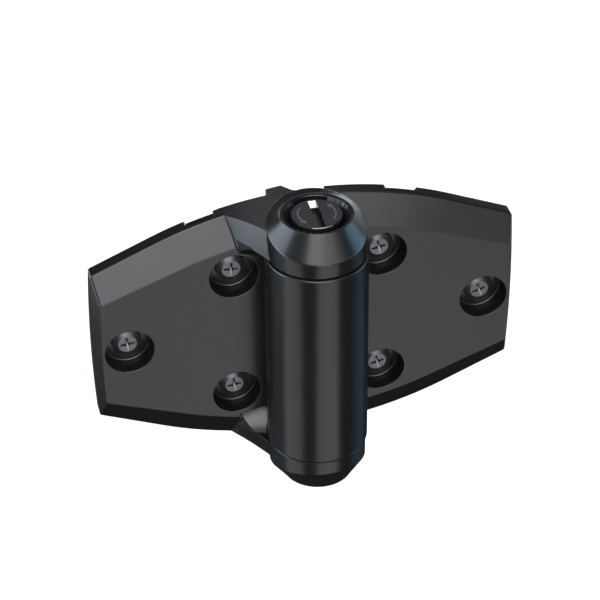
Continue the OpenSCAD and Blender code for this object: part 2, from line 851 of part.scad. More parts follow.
module spindle() {
    color([0.70, 0.71, 0.73])
        difference() {
            union() {
                bar_z(spindle_r, spindle_r, spindle_bot, spindle_top - 0.6);
                bar_z(spindle_r, spindle_r - 0.6, spindle_top - 0.6, spindle_top);
            }
            ring_z(spindle_r + 1, spindle_r - clip_groove, pin_bot - clip_t - 0.05,
                   pin_bot);
        }
}

module spindle_clip() {
    color([0.30, 0.31, 0.33])
        difference() {
            ring_z(spindle_r + clip_rim, spindle_r - clip_groove, pin_bot - clip_t,
                   pin_bot);
            translate([0, -clip_mouth / 2, pin_bot - clip_t - 1])
                cube([spindle_r + clip_rim + 1, clip_mouth, clip_t + 2]);
        }
}

module lower_pin() {
    color([0.62, 0.60, 0.52])
        difference() {
            bar_z(housing_r, housing_r, pin_bot, pin_top);
            bar_z(spindle_r, spindle_r, pin_bot - 1, pin_top + 1);
            ring_z(housing_r - 2.6, spindle_r + 3.4, pin_bot - 1, pin_top - 4);
        }
}

module end_plug() {
    color([0.12, 0.12, 0.13])
        union() {
            bar_z(cap_well_r - 0.6, cap_well_r, lower_top + 0.3, lower_top + 0.9);
            bar_z(cap_well_r, cap_well_r, lower_top + 0.9, lower_top + plug_t + 0.5);
            ring_z(housing_r, housing_r - 1.6, lower_top + plug_t + 0.4, pin_bot);
        }
}

post_leaf();
gate_leaf();
post_screws();
gate_screws();
upper_bush();
lower_bush();
upper_washer();
lower_washer();
index_ring();
adjuster_housing();
adjuster();
adjuster_seal();
return_spring();
spring_arbor();
torsion_spring();
spring_anchor();
spring_sleeve();
spindle();
spindle_clip();
lower_pin();
end_plug();
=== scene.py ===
"""Self-closing gate hinge: the looks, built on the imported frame.

Sizes are millimetres in the classes and metres in Blender. X runs along the
gate, +Y towards the post, +Z up, with the origin on the swing axis.
"""

from __future__ import annotations

import logging
import math
from dataclasses import dataclass, field
from enum import Enum
from typing import Any, Iterable, Optional, Sequence

import bmesh
import bpy
from mathutils import Matrix, Vector

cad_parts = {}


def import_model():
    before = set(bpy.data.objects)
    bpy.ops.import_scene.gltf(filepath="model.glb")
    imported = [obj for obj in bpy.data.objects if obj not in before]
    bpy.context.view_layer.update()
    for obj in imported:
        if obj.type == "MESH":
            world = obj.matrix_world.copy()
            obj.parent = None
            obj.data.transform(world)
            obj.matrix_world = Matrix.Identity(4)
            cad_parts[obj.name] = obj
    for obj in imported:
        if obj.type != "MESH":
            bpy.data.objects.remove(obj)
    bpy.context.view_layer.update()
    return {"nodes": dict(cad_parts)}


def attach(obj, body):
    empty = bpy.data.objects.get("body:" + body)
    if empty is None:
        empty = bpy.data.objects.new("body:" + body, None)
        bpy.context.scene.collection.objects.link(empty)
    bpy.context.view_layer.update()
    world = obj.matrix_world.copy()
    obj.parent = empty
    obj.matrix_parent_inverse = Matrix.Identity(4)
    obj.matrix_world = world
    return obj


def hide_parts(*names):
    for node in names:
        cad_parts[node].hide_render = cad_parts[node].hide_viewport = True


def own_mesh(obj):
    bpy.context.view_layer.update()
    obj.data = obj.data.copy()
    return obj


LOG = logging.getLogger("gate_hinge")
MM = 0.001
POST_START = 9.0  # where the post leaf starts inside the barrel, in millimetres
REACH = 70.0  # how far up and down a clearing tool reaches, in millimetres
BARREL_ROOM = 20.5  # radius kept free round the barrel, in millimetres
WELD = 1e-4  # millimetres within which points are one
MID = -0.85  # height of the barrel's middle
FACE_Y = 12.33  # depth of the leaves' faces
SHOULDER_Y = 18.66  # depth at which the bevel meets the rim
BACK_Y = 24.2  # depth of the leaves' backs
Point = tuple[float, float]
Corner = Sequence[float]


class Side(Enum):
    """Which leaf a piece belongs to."""

    POST = 1
    GATE = -1


class End(Enum):
    """Upper or lower end of the barrel."""

    UPPER = 1
    LOWER = -1


# ---------------------------------------------------------------- shader maths


class Socket:
    """A shader socket that can be used in Python arithmetic."""

    def __init__(self, tree: bpy.types.NodeTree, out: bpy.types.NodeSocket) -> None:
        """Keep the tree and the output socket."""
        self.tree = tree
        self.out = out

    def _math(self, op: str, a: Any, b: Any, clamp: bool = False) -> "Socket":
        """Add one Math node.

        Args:
            op: The node's operation.
            a: First value, a number or a Socket.
            b: Second value, a number or a Socket.
            clamp: Whether the result is held to 0..1.

        Returns:
            The node's output.
        """
        node = self.tree.nodes.new("ShaderNodeMath")
        node.operation = op
        node.use_clamp = clamp
        for slot, value in zip(node.inputs, (a, b)):
            if isinstance(value, Socket):
                self.tree.links.new(value.out, slot)
            else:
                slot.default_value = float(value)
        return Socket(self.tree, node.outputs[0])

    def __add__(self, other: Any) -> "Socket":
        """Sum."""
        return self._math("ADD", self, other)

    def __radd__(self, other: Any) -> "Socket":
        """Sum with the number first."""
        return self._math("ADD", other, self)

    def __sub__(self, other: Any) -> "Socket":
        """Difference."""
        return self._math("SUBTRACT", self, other)

    def __rsub__(self, other: Any) -> "Socket":
        """Difference with the number first."""
        return self._math("SUBTRACT", other, self)

    def __mul__(self, other: Any) -> "Socket":
        """Product."""
        return self._math("MULTIPLY", self, other)

    def __rmul__(self, other: Any) -> "Socket":
        """Product with the number first."""
        return self._math("MULTIPLY", other, self)

    def held(self) -> "Socket":
        """The same value held to 0..1."""
        return self._math("ADD", self, 0.0, clamp=True)


class Recipe:
    """One material's node tree, with a single way to add a node."""

    def __init__(self, name: str) -> None:
        """Start an empty material.

        Args:
            name: The material's name.
        """
        self.material = bpy.data.materials.new(name)
        self.material.use_nodes = True
        self.tree = self.material.node_tree
        self.tree.nodes.clear()

    def node(
        self,
        kind: str,
        settings: Optional[dict[str, Any]] = None,
        inputs: Optional[dict[Any, Any]] = None,
        output: Any = 0,
    ) -> Socket:
        """Add a node of any type.

        Args:
            kind: The node's type, without its ShaderNode prefix.
            settings: Its properties, set before its sockets.
            inputs: Values or Sockets by the input's name or number.
            output: Name or number of the output that is returned.

        Returns:
            The chosen output.
        """
        node = self.tree.nodes.new("ShaderNode" + kind)
        for key, value in (settings or {}).items():
            if key == "stops":
                ramp = node.color_ramp
                while len(ramp.elements) < len(value):
                    ramp.elements.new(0.5)
                for stop, (place, shade) in zip(ramp.elements, value):
                    stop.position = place
                    stop.color = (shade, shade, shade, 1.0)
            else:
                setattr(node, key, value)
        for key, value in (inputs or {}).items():
            if isinstance(value, Socket):
                self.tree.links.new(value.out, node.inputs[key])
            else:
                node.inputs[key].default_value = value
        return Socket(self.tree, node.outputs[output])

    def place(self) -> Socket:
        """The point on the piece, in metres."""
        return self.node("TexCoord", output="Object")

    def noise(self, per_metre: float, detail: float = 3.0, rough: float = 0.55,
              stretch: Sequence[float] = (1.0, 1.0, 1.0)) -> Socket:
        """A noise of one scale, 0..1.

        Args:
            per_metre: Lumps in a metre.
            detail: Octaves.
            rough: Weight of the finer octaves.
            stretch: Scale along each axis.

        Returns:
            The noise's value.
        """
        where = self.node("Mapping", {}, {"Vector": self.place(), "Scale": stretch})
        return self.node("TexNoise", {}, {"Vector": where, "Scale": per_metre,
                                          "Detail": detail, "Roughness": rough})

    def blend(self, fac: Any, a: Sequence[float], b: Sequence[float]) -> Socket:
        """Mix two colours.

        Args:
            fac: Weight of the second colour.
            a: First colour.
            b: Second colour.

        Returns:
            The mixed colour.
        """
        return self.node("Mix", {"data_type": "RGBA"},
                         {0: fac, 6: (*a[:3], 1.0), 7: (*b[:3], 1.0)}, output=2)

    def finish(self, shader: dict[str, Any], height: Optional[Socket] = None,
               depth: float = 0.0) -> bpy.types.Material:
        """Close the tree with one Principled shader.

        Args:
            shader: Its sockets, by name.
            height: Relief over the surface, if any.
            depth: Depth of that relief, in metres.

        Returns:
            The material.
        """
        if height is not None:
            shader["Normal"] = self.node("Bump", {}, {"Strength": 1.0, "Distance": depth,
                                                      "Height": height})
        bsdf = self.node("BsdfPrincipled", {}, shader)
        out = self.tree.nodes.new("ShaderNodeOutputMaterial")
        self.tree.links.new(bsdf.out, out.inputs["Surface"])
        return self.material


@dataclass(frozen=True)
class GrainedPlastic:
    """Satin black plastic with a fine moulded grain."""

    name: str
    colour: tuple[float, float, float] = (0.0046, 0.0042, 0.0042)
    roughness: float = 0.25
    grain_per_metre: float = 2600.0
    grain_depth: float = 0.000016

    def make(self) -> bpy.types.Material:
        """Build the material.

        Returns:
            The material.
        """
        r = Recipe(self.name)
        grain = r.noise(self.grain_per_metre, 2.0, 0.6)
        cloud = r.noise(38.0, 4.0, 0.6)
        speck = r.noise(900.0, 2.0, 0.5)
        light = tuple(c * 1.35 for c in self.colour)
        fac = (cloud * 0.5 + speck * 0.5).held()
        rough = self.roughness - 0.05 + cloud * 0.07 + grain * 0.05
        return r.finish({"Base Color": r.blend(fac, self.colour, light),
                         "Roughness": rough, "IOR": 1.5}, grain + speck * 0.35,
                        self.grain_depth)


@dataclass(frozen=True)
class SatinSteel:
    """Plain or darkened steel with turning marks."""

    name: str
    colour: tuple[float, float, float]
    roughness: float
    metal: float = 1.0
    marks: tuple[float, float, float] = (1.0, 1.0, 1.0)
    marks_per_metre: float = 1500.0
    depth: float = 0.00001

    def make(self) -> bpy.types.Material:
        """Build the material.

        Returns:
            The material.
        """
        r = Recipe(self.name)
        lines = r.noise(self.marks_per_metre, 3.0, 0.6, self.marks)
        cloud = r.noise(240.0, 3.0, 0.55)
        dark = tuple(c * 0.72 for c in self.colour)
        rough = self.roughness - 0.06 + cloud * 0.12 + lines * 0.05
        return r.finish({"Base Color": r.blend((lines * 0.6 + cloud * 0.4).held(), dark,
                                               self.colour),
                         "Metallic": self.metal, "Roughness": rough}, lines, self.depth)


@dataclass(frozen=True)
class Nylon:
    """Smooth moulded nylon with faint flow clouds."""

    name: str
    colour: tuple[float, float, float]
    roughness: float = 0.42

    def make(self) -> bpy.types.Material:
        """Build the material.

        Returns:
            The material.
        """
        r = Recipe(self.name)
        flow = r.noise(120.0, 4.0, 0.6, (1.0, 1.0, 0.4))
        grain = r.noise(1800.0, 2.0, 0.5)
        dark = tuple(c * 0.86 for c in self.colour)
        return r.finish({"Base Color": r.blend(flow, dark, self.colour),
                         "Roughness": self.roughness - 0.05 + flow * 0.1},
                        grain + flow, 0.000012)


@dataclass(frozen=True)
class Rubber:
    """Dull black rubber."""

    name: str
    colour: tuple[float, float, float] = (0.012, 0.012, 0.012)

    def make(self) -> bpy.types.Material:
        """Build the material.

        Returns:
            The material.
        """
        r = Recipe(self.name)
        cloud = r.noise(400.0, 3.0, 0.6)
        pale = tuple(c * 1.8 for c in self.colour)
        return r.finish({"Base Color": r.blend(cloud, self.colour, pale),
                         "Roughness": 0.62 + cloud * 0.14}, cloud, 0.00001)


def made(finish: Any) -> Any:
    """A palette's field, filled when the palette is mixed."""
    return field(default_factory=finish.make)


@dataclass
class Palette:
    """All finishes of the hinge, made once."""

    body: bpy.types.Material = made(GrainedPlastic("leaf grained plastic"))
    cap: bpy.types.Material = made(GrainedPlastic(
        "cap plastic", (0.0060, 0.0060, 0.0063), 0.26, grain_depth=0.000005))
    # The arrows are paler than the cap; the paler tone is a painted highlight for their lit
    # outlines.
    mark: bpy.types.Material = made(GrainedPlastic(
        "rubbed arrow plastic", (0.060, 0.060, 0.064), 0.24, grain_depth=0.000004))
    ring: bpy.types.Material = made(GrainedPlastic(
        "index ring plastic", (0.0070, 0.0070, 0.0075), 0.26))
    # Bright steel laid on the cap's faces that turn up and to the front: a painted highlight,
    # not a real insert.
    insert: bpy.types.Material = made(SatinSteel("cap painted highlight steel", (0.52, 0.52, 0.53), 0.34))
    washer: bpy.types.Material = made(Nylon("washer nylon", (0.02, 0.02, 0.02)))
    head: bpy.types.Material = made(SatinSteel(
        "screw head black coat", (0.080, 0.083, 0.090), 0.30, 0.8))
    bare: bpy.types.Material = made(SatinSteel(
        "screw worn flat", (0.143, 0.143, 0.148), 0.30, marks_per_metre=900.0))
    thread: bpy.types.Material = made(SatinSteel(
        "screw thread zinc", (0.42, 0.42, 0.43), 0.36))
    spring: bpy.types.Material = made(SatinSteel("spring wire", (0.40, 0.40, 0.42), 0.34))
    rod: bpy.types.Material = made(SatinSteel(
        "spindle steel", (0.60, 0.60, 0.61), 0.24, marks=(1.0, 1.0, 6.0)))
    zinc: bpy.types.Material = made(SatinSteel(
        "cast zinc", (0.42, 0.43, 0.45), 0.46, 0.9, marks_per_metre=500.0, depth=0.00003))
    bearing: bpy.types.Material = made(Nylon("bearing nylon", (0.74, 0.72, 0.65)))
    housing: bpy.types.Material = made(Nylon("housing nylon", (0.40, 0.35, 0.25)))
    rubber: bpy.types.Material = made(Rubber("seal rubber"))


# ---------------------------------------------------------------------- shapes


def bend(start: Vector, corner: Vector, end: Vector, places: Iterable[float]) -> list[Vector]:
    """Points on a curve that leaves its start and reaches its end towards one corner.

    Args:
        start: Where it starts.
        corner: Where its two end lines meet.
        end: Where it ends.
        places: Shares of the way at which points are wanted.

    Returns:
        The points.
    """
    return [start * (1 - t) ** 2 + corner * 2 * t * (1 - t) + end * t * t for t in places]


class Form:
    """A mesh under construction, in millimetres."""

    def __init__(self, name: str) -> None:
        """Start an empty form.

        Args:
            name: Name of the object that it becomes.
        """
        self.name = name
        self.bm = bmesh.new()

    def loop(self, points: Iterable[Corner]) -> list[bmesh.types.BMEdge]:
        """Add a closed line through points.

        Args:
            points: Corners, in order.

        Returns:
            The line's edges, in order.
        """
        verts = [self.bm.verts.new(p) for p in points]
        return [self.bm.edges.new((verts[i], verts[(i + 1) % len(verts)]))
                for i in range(len(verts))]

    def raise_loop(self, edges: list[bmesh.types.BMEdge],
                   points: Sequence[Corner]) -> list[bmesh.types.BMEdge]:
        """Extrude a closed line and lay its copy on new points.

        Args:
            edges: The line, in order.
            points: A point for each corner, in the same order.

        Returns:
            The copy's edges, in the same order.
        """
        order = self.corners(edges)
        made = bmesh.ops.extrude_edge_only(self.bm, edges=edges)["geom"]
        fresh = {v for v in made if isinstance(v, bmesh.types.BMVert)}
        twin = {}
        for v in order:
            twin[v] = next(e.other_vert(v) for e in v.link_edges
                           if e.other_vert(v) in fresh)
        for v, p in zip(order, points):
            twin[v].co = p
        ring = [twin[v] for v in order]
        return [self.bm.edges.get((ring[i], ring[(i + 1) % len(ring)]))
                for i in range(len(ring))]

    @staticmethod
    def corners(edges: list[bmesh.types.BMEdge]) -> list[bmesh.types.BMVert]:
        """The corners of a closed line, starting where its first edge starts.

        Args:
            edges: The line, in order.

        Returns:
            Its corners, in order.
        """
        first, last = edges[0], edges[-1]
        start = next(v for v in first.verts if v in last.verts)
        order = [start]
        for edge in edges[:-1]:
            order.append(edge.other_vert(order[-1]))
        return order

    def close(self, edges: list[bmesh.types.BMEdge]) -> None:
        """Fill a closed line with one face."""
        bmesh.ops.contextual_create(self.bm, geom=edges)

    def turned(self, profile: Sequence[Point], steps: int = 96) -> "Form":
        """Spin a profile of (radius, height) round the Z axis.

        Args:
            profile: Points from the axis or bore, in order.
            steps: Faces round the axis.

        Returns:
            The form itself.
        """
        verts = [self.bm.verts.new((r, 0.0, z)) for r, z in profile]
        edges = [self.bm.edges.new(pair) for pair in zip(verts, verts[1:])]
        bmesh.ops.spin(self.bm, geom=verts + edges, cent=(0, 0, 0), axis=(0, 0, 1),
                       angle=2 * math.pi, steps=steps, use_merge=True,
                       use_duplicate=False)
        bmesh.ops.remove_doubles(self.bm, verts=self.bm.verts, dist=WELD)
        bmesh.ops.recalc_face_normals(self.bm, faces=self.bm.faces)
        return self

    def block(self, low: Corner, high: Corner) -> list[bmesh.types.BMVert]:
        """Add a box between two corners.

        Args:
            low: Lowest corner.
            high: Highest corner.

        Returns:
            The box's corners.
        """
        size = [h - l for l, h in zip(low, high)]
        mid = [(h + l) / 2 for l, h in zip(low, high)]
        place = Matrix.Translation(mid) @ Matrix.Diagonal((*size, 1.0))
        return bmesh.ops.create_cube(self.bm, size=1.0, matrix=place)["verts"]

    def loft(self, rings: Iterable[Sequence[Corner]], closed: bool = True) -> "Form":
        """Raise a skin through rings of points.

        Args:
            rings: Outlines with the same count of corners, in order.
            closed: Whether the first and last are filled, or else joined.

        Returns:
            The form itself.
        """
        edges: list[bmesh.types.BMEdge] = []
        for points in rings:
            if edges:
                edges = self.raise_loop(edges, points)
                continue
            edges = self.loop(points)
            if closed:
                self.close(edges)
        if closed:
            self.close(edges)
        else:
            bmesh.ops.remove_doubles(self.bm, verts=self.bm.verts, dist=WELD)
        bmesh.ops.recalc_face_normals(self.bm, faces=self.bm.faces)
        return self

    def prism(self, points: Sequence[Corner], along: Corner) -> "Form":
        """Push a flat outline along a line and close both ends.

        Args:
            points: The outline's corners.
            along: How far it is pushed.

        Returns:
            The form itself.
        """
        first = self.loop(points)
        second = self.raise_loop(first, [Vector(p) + Vector(along) for p in points])
        self.close(first)
        self.close(second)
        bmesh.ops.recalc_face_normals(self.bm, faces=self.bm.faces)
        return self

    def rod(self, r: float, low: float, high: float, steps: int = 128) -> "Form":
        """Add a plain round bar along Z.

        Args:
            r: Its radius.
            low: Its lower end.
            high: Its upper end.
            steps: Faces round it.

        Returns:
            The form itself.
        """
        return self.turned([(0, low), (r, low), (r, high), (0, high)], steps)

    def turn(self, angle: float, axis: str = "Z") -> "Form":
        """Turn everything about an axis through the origin, in degrees."""
        bmesh.ops.rotate(self.bm, cent=(0, 0, 0), verts=self.bm.verts,
                         matrix=Matrix.Rotation(math.radians(angle), 3, axis))
        return self

    def move(self, by: Corner) -> "Form":
        """Shift everything."""
        bmesh.ops.translate(self.bm, vec=by, verts=self.bm.verts)
        return self

    def flip(self, factors: Corner) -> "Form":
        """Mirror by factors of 1 or -1 and mend the faces' direction."""
        bmesh.ops.scale(self.bm, vec=factors, verts=self.bm.verts)
        if factors[0] * factors[1] * factors[2] < 0:
            bmesh.ops.reverse_faces(self.bm, faces=self.bm.faces)
        return self

    def soften(self, width: float, segments: int = 2, angle: float = 28.0) -> "Form":
        """Round every edge that is sharper than an angle.

        Args:
            width: Width of the rounding.
            segments: Faces across it.
            angle: Least angle, in degrees.

        Returns:
            The form itself.
        """
        edges = [e for e in self.bm.edges if len(e.link_faces) == 2
                 and e.calc_face_angle(0.0) > math.radians(angle)]
        bmesh.ops.bevel(self.bm, geom=edges, offset=width, segments=segments,
                        profile=0.5, affect="EDGES", material=-1, clamp_overlap=True)
        return self

    def piece(self) -> bpy.types.Object:
        """Make the object, in metres.

        Returns:
            The object, at the origin.
        """
        bmesh.ops.scale(self.bm, vec=(MM, MM, MM), verts=self.bm.verts)
        mesh = bpy.data.meshes.new(self.name)
        self.bm.to_mesh(mesh)
        self.bm.free()
        obj = bpy.data.objects.new(self.name, mesh)
        bpy.context.scene.collection.objects.link(obj)
        return obj


class Bench:
    """Joins and finishes pieces."""

    @staticmethod
    def carve(target: bpy.types.Object, tool: bpy.types.Object,
              operation: str = "DIFFERENCE") -> None:
        """Cut a tool out of a piece, or join it, and drop the tool.

        Args:
            target: The piece.
            tool: What is cut out or joined.
            operation: The Boolean modifier's operation.
        """
        mod = target.modifiers.new("carve", "BOOLEAN")
        mod.operation = operation
        mod.object = tool
        mod.solver = "EXACT"
        graph = bpy.context.evaluated_depsgraph_get()
        done = bpy.data.meshes.new_from_object(target.evaluated_get(graph))
        target.modifiers.clear()
        old = target.data
        target.data = done
        bpy.data.meshes.remove(old)
        bpy.data.objects.remove(tool)

    @staticmethod
    def shade(obj: bpy.types.Object, angle: float = 30.0, weigh: bool = True) -> None:
        """Smooth all but sharp edges.

        Args:
            obj: The piece.
            angle: Edges over this angle stay sharp, in degrees.
            weigh: Whether large faces rule the normals.
        """
        mesh = obj.data
        bm = bmesh.new()
        bm.from_mesh(mesh)
        bmesh.ops.remove_doubles(bm, verts=bm.verts, dist=0.002 * MM)
        bmesh.ops.dissolve_degenerate(bm, edges=bm.edges, dist=0.001 * MM)
        limit = math.radians(angle)
        for face in bm.faces:
            face.smooth = True
        for edge in bm.edges:
            edge.smooth = len(edge.link_faces) != 2 or edge.calc_face_angle(0.0) < limit
        bm.to_mesh(mesh)
        bm.free()
        if weigh:
            mod = obj.modifiers.new("normals", "WEIGHTED_NORMAL")
            mod.mode = "FACE_AREA"
            mod.weight = 100
            mod.keep_sharp = True

    @staticmethod
    def dress(obj: bpy.types.Object, *finishes: bpy.types.Material) -> None:
        """Give a piece its finishes, slot by slot."""
        obj.data.materials.clear()
        for finish in finishes:
            obj.data.materials.append(finish)

    @staticmethod
    def hand_over(obj: bpy.types.Object, body: str, slot: str,
                  *stands_for: str) -> None:
        """Tie a piece to its body and hide the nodes it stands for.

        Args:
            obj: The piece.
            body: Body that it rides on.
            slot: The record's material slot; not used.
            stands_for: CAD nodes that it replaces.
        """
        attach(obj, body)
        if stands_for:
            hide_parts(*stands_for)
        LOG.info("%s: %d faces on %s", obj.name, len(obj.data.polygons), body)

    @classmethod
    def ready(cls, obj: bpy.types.Object, name: str, body: str, slot: str,
              finish: bpy.types.Material, *stands_for: str) -> None:
        """Name, shade, dress and hand over a piece of one finish.

        Args:
            obj: The piece.
            name: Its name.
            body: Body that it rides on.
            slot: The record's material slot; passed on to hand_over, which does not use it.
            finish: Its finish.
            stands_for: CAD nodes that it replaces.
        """
        obj.name = name
        cls.shade(obj)
        cls.dress(obj, finish)
        cls.hand_over(obj, body, slot, *stands_for)


# ---------------------------------------------------------------------- leaves


@dataclass(frozen=True)
class Outline:
    """Half of a bow-tie outline: an arch that runs on as a straight slope."""

    half: float
    arc_r: float
    slope: float
    tip: float
    bow_r: float = 600.0

    @property
    def turn_x(self) -> float:
        """Where the arch becomes the slope."""
        return self.arc_r * self.slope / math.hypot(1.0, self.slope)

    def z(self, x: float) -> float:
        """Half height at a distance from the swing axis.

        Args:
            x: Distance from the swing axis.

        Returns:
            Half height.
        """
        x = abs(x)
        base = self.half - self.arc_r
        if x < self.turn_x:
            return base + math.sqrt(self.arc_r ** 2 - x * x)
        return base + math.sqrt(self.arc_r ** 2 - self.turn_x ** 2) \
            - self.slope * (x - self.turn_x)

    def bow(self, z: float) -> float:
        """Distance of the tip edge from the swing axis at a height."""
        return self.tip - z * z / (2 * self.bow_r)

    def points(self, x0: float, steps: int = 34, nose: float = 0.9) -> list[Point]:
        """The outline from x0, round the tip and back, as (x, z).

        Args:
            x0: Distance at which the leaf starts.
            steps: Pieces of the arched part.
            nose: Length taken off each tip corner by its rounding.

        Returns:
            Corners in order; every outline of one count matches another.
        """
        xs = [x0 + (self.turn_x - x0) * i / steps for i in range(steps + 1)]
        upper = [(x, self.z(x)) for x in xs]
        cz = self.z(self.bow(self.z(self.tip)))
        cx = self.bow(cz)
        unit = 1.0 / math.hypot(1.0, self.slope)
        a = Vector((cx - nose * unit, cz + nose * self.slope * unit))
        c = Vector((cx, cz))
        b = Vector((self.bow(cz - nose), cz - nose))
        corner = [(p.x, p.y) for p in bend(a, c, b, (0.0, 0.25, 0.5, 0.75, 1.0))]
        low_z = cz - nose
        side = [(self.bow(low_z * (1 - i / 5)), low_z * (1 - i / 5)) for i in range(1, 10)]
        return upper + corner + side + [(x, -z) for x, z in reversed(upper + corner)]


RIM = Outline(56.4, 154.0, 0.42, 85.5)
FACE = Outline(44.3, 147.0, 0.37, 82.86)


@dataclass
class Leaf:
    """One bow-tie leaf with its bevel, screw wells and cored back."""

    side: Side
    start_x: float
    face_y: float = FACE_Y
    shoulder_y: float = SHOULDER_Y
    back_y: float = BACK_Y
    rim: Outline = RIM
    face: Outline = FACE
    inner_well: Point = (29.73, 28.35)
    outer_well_x: float = 71.94
    well_r: float = 9.7
    well_floor: float = 4.0
    hole_r: float = 3.1
    boss_wall: float = 2.6
    core_depth: float = 6.4
    core_rim: float = 6.5
    core_x: float = 27.5
    lip: float = 0.28
    relief: tuple[float, float, float] = (33.0, 46.5, 1.5)
    rib_t: float = 2.0
    rib_pitch: float = 13.0

    @property
    def spots(self) -> list[Point]:
        """Centres of the three screw wells, on the +X side."""
        x, z = self.inner_well
        return [(x, z), (x, -z), (self.outer_well_x, 0.0)]

    def between(self, t: float) -> list[Point]:
        """The outline a part of the way from the rim (0) to the face (1)."""
        pairs = zip(self.rim.points(self.start_x), self.face.points(self.start_x))
        return [(a[0] + (b[0] - a[0]) * t, a[1] + (b[1] - a[1]) * t) for a, b in pairs]

    def plate(self) -> bpy.types.Object:
        """The bevelled plate with rounded creases.

        Returns:
            The plate as an object.
        """
        e, f = self.shoulder_y, self.face_y
        levels = [(0.012, self.back_y), (0.003, self.back_y - 0.08), (0.0, self.back_y - 0.3),
                  (0.0, e + 0.42), (0.004, e + 0.16), (0.013, e - 0.02), (0.04, e - 0.24),
                  (0.96, f + 0.26), (0.985, f + 0.1), (1.005, f + 0.02), (1.03, f)]
        return Form("plate").loft([(x, y, z) for x, z in self.between(t)]
                                  for t, y in levels).piece()

    def well_tool(self, x: float, z: float) -> bpy.types.Object:
        """The space of one screw well and its hole.

        Args:
            x: The well's distance from the swing axis.
            z: Its height.

        Returns:
            The tool.
        """
        floor = self.back_y - self.well_floor
        profile: list[Point] = [(0.0, floor + 6), (self.hole_r, floor + 6),
                                (self.hole_r, floor + 0.25), (self.hole_r + 0.25, floor)]
        profile += [(self.well_r - 0.7 + 0.7 * math.sin(a), floor - 0.7 + 0.7 * math.cos(a))
                    for a in (i * math.pi / 10 for i in range(6))]
        lip = self.lip
        r, y = self.well_r + lip, self.face_y + lip
        profile += [(r - lip * math.cos(a), y - lip * math.sin(a))
                    for a in (i * math.pi / 8 for i in range(5))]
        profile += [(self.well_r + lip + 0.4, self.face_y - 1.0), (0.0, self.face_y - 1.0)]
        return Form("well").turned(profile, 96).turn(-90, "X").move((x, 0.0, z)).piece()

    def core_tool(self) -> bpy.types.Object:
        """The pockets in the back, between ribs and bosses.

        Returns:
            The tool.
        """
        floor = self.back_y - self.core_depth
        inner = Outline(self.rim.half - self.core_rim, self.rim.arc_r - self.core_rim,
                        self.rim.slope, self.rim.tip - self.core_rim)
        outline = [(x, floor, z) for x, z in inner.points(self.core_x, 16, 1.5)]
        tool = Form("cores").prism(outline, (0, self.core_depth + 2, 0)).piece()
        for x, z in self.spots:
            r = self.well_r + self.boss_wall
            boss = Form("boss").rod(r, -2, 12, 64)
            Bench.carve(tool, boss.turn(-90, "X").move((x, floor, z)).piece())
        ribs = Form("ribs")
        for i in range(4):
            x = self.core_x + self.rib_pitch * (i + 0.85)
            ribs.block((x, floor - 2, -60), (x + self.rib_t, self.back_y + 3, 60))
        Bench.carve(tool, ribs.piece())
        ribs = Form("ribs")
        for i in range(-3, 4):
            z = self.rib_pitch * i
            ribs.block((0, floor - 2, z - self.rib_t / 2),
                       (100, self.back_y + 3, z + self.rib_t / 2))
        Bench.carve(tool, ribs.piece())
        return tool

    def relief_tool(self, up: int) -> bpy.types.Object:
        """The shallow recess in the rear of the rim.

        Args:
            up: 1 for the top rim, -1 for the bottom one.

        Returns:
            The tool.
        """
        a, b, depth = self.relief
        xs = [a + 1 + (b - a - 2) * i / 6 for i in range(7)]
        pts = [(a, self.rim.z(a) + 4), (a, self.rim.z(a))]
        pts += [(x, self.rim.z(x) - depth) for x in xs]
        pts += [(b, self.rim.z(b)), (b, self.rim.z(a) + 4)]
        return Form("relief").prism([(x, self.back_y - 3.5, z * up) for x, z in pts],
                                    (0, 6, 0)).piece()

    def build(self) -> bpy.types.Object:
        """Make the whole leaf.

        Returns:
            The leaf, on its own side.
        """
        leaf = self.plate()
        for x, z in self.spots:
            Bench.carve(leaf, self.well_tool(x, z))
        Bench.carve(leaf, self.core_tool())
        for up in (1, -1):
            Bench.carve(leaf, self.relief_tool(up))
        if self.side is Side.GATE:
            bm = bmesh.new()
            bm.from_mesh(leaf.data)
            bmesh.ops.scale(bm, vec=(-1, 1, 1), verts=bm.verts)
            bmesh.ops.reverse_faces(bm, faces=bm.faces)
            bm.to_mesh(leaf.data)
            bm.free()
        return leaf


@dataclass
class Barrel:
    """The post leaf's round barrel."""

    r: float = 20.0
    half: float = 44.2
    mid: float = MID
    edge: float = 0.7
    bore_r: float = 15.0
    bush_r: float = 17.0
    washer_r: float = 18.3
    washer_drop: float = 0.85
    bush_drop: float = 8.85

    def build(self) -> bpy.types.Object:
        """Spin the barrel with its bore and end pockets.

        Returns:
            The barrel.
        """
        top, bot, e = self.half, -self.half, self.edge
        outer = [(self.r - e + e * math.sin(a), bot + e - e * math.cos(a))
                 for a in (i * math.pi / 10 for i in range(6))]
        outer += [(self.r - e + e * math.cos(a), top - e + e * math.sin(a))
                  for a in (i * math.pi / 10 for i in range(6))]
        inner = [(self.washer_r, top), (self.washer_r, top - self.washer_drop),
                 (self.bush_r, top - self.washer_drop), (self.bush_r, top - self.bush_drop),
                 (self.bore_r, top - self.bush_drop), (self.bore_r, bot + self.bush_drop),
                 (self.bush_r, bot + self.bush_drop), (self.bush_r, bot + self.washer_drop),
                 (self.washer_r, bot + self.washer_drop), (self.washer_r, bot)]
        form = Form("barrel").turned(outer + inner + outer[:1], 160)
        return form.move((0, 0, self.mid)).piece()


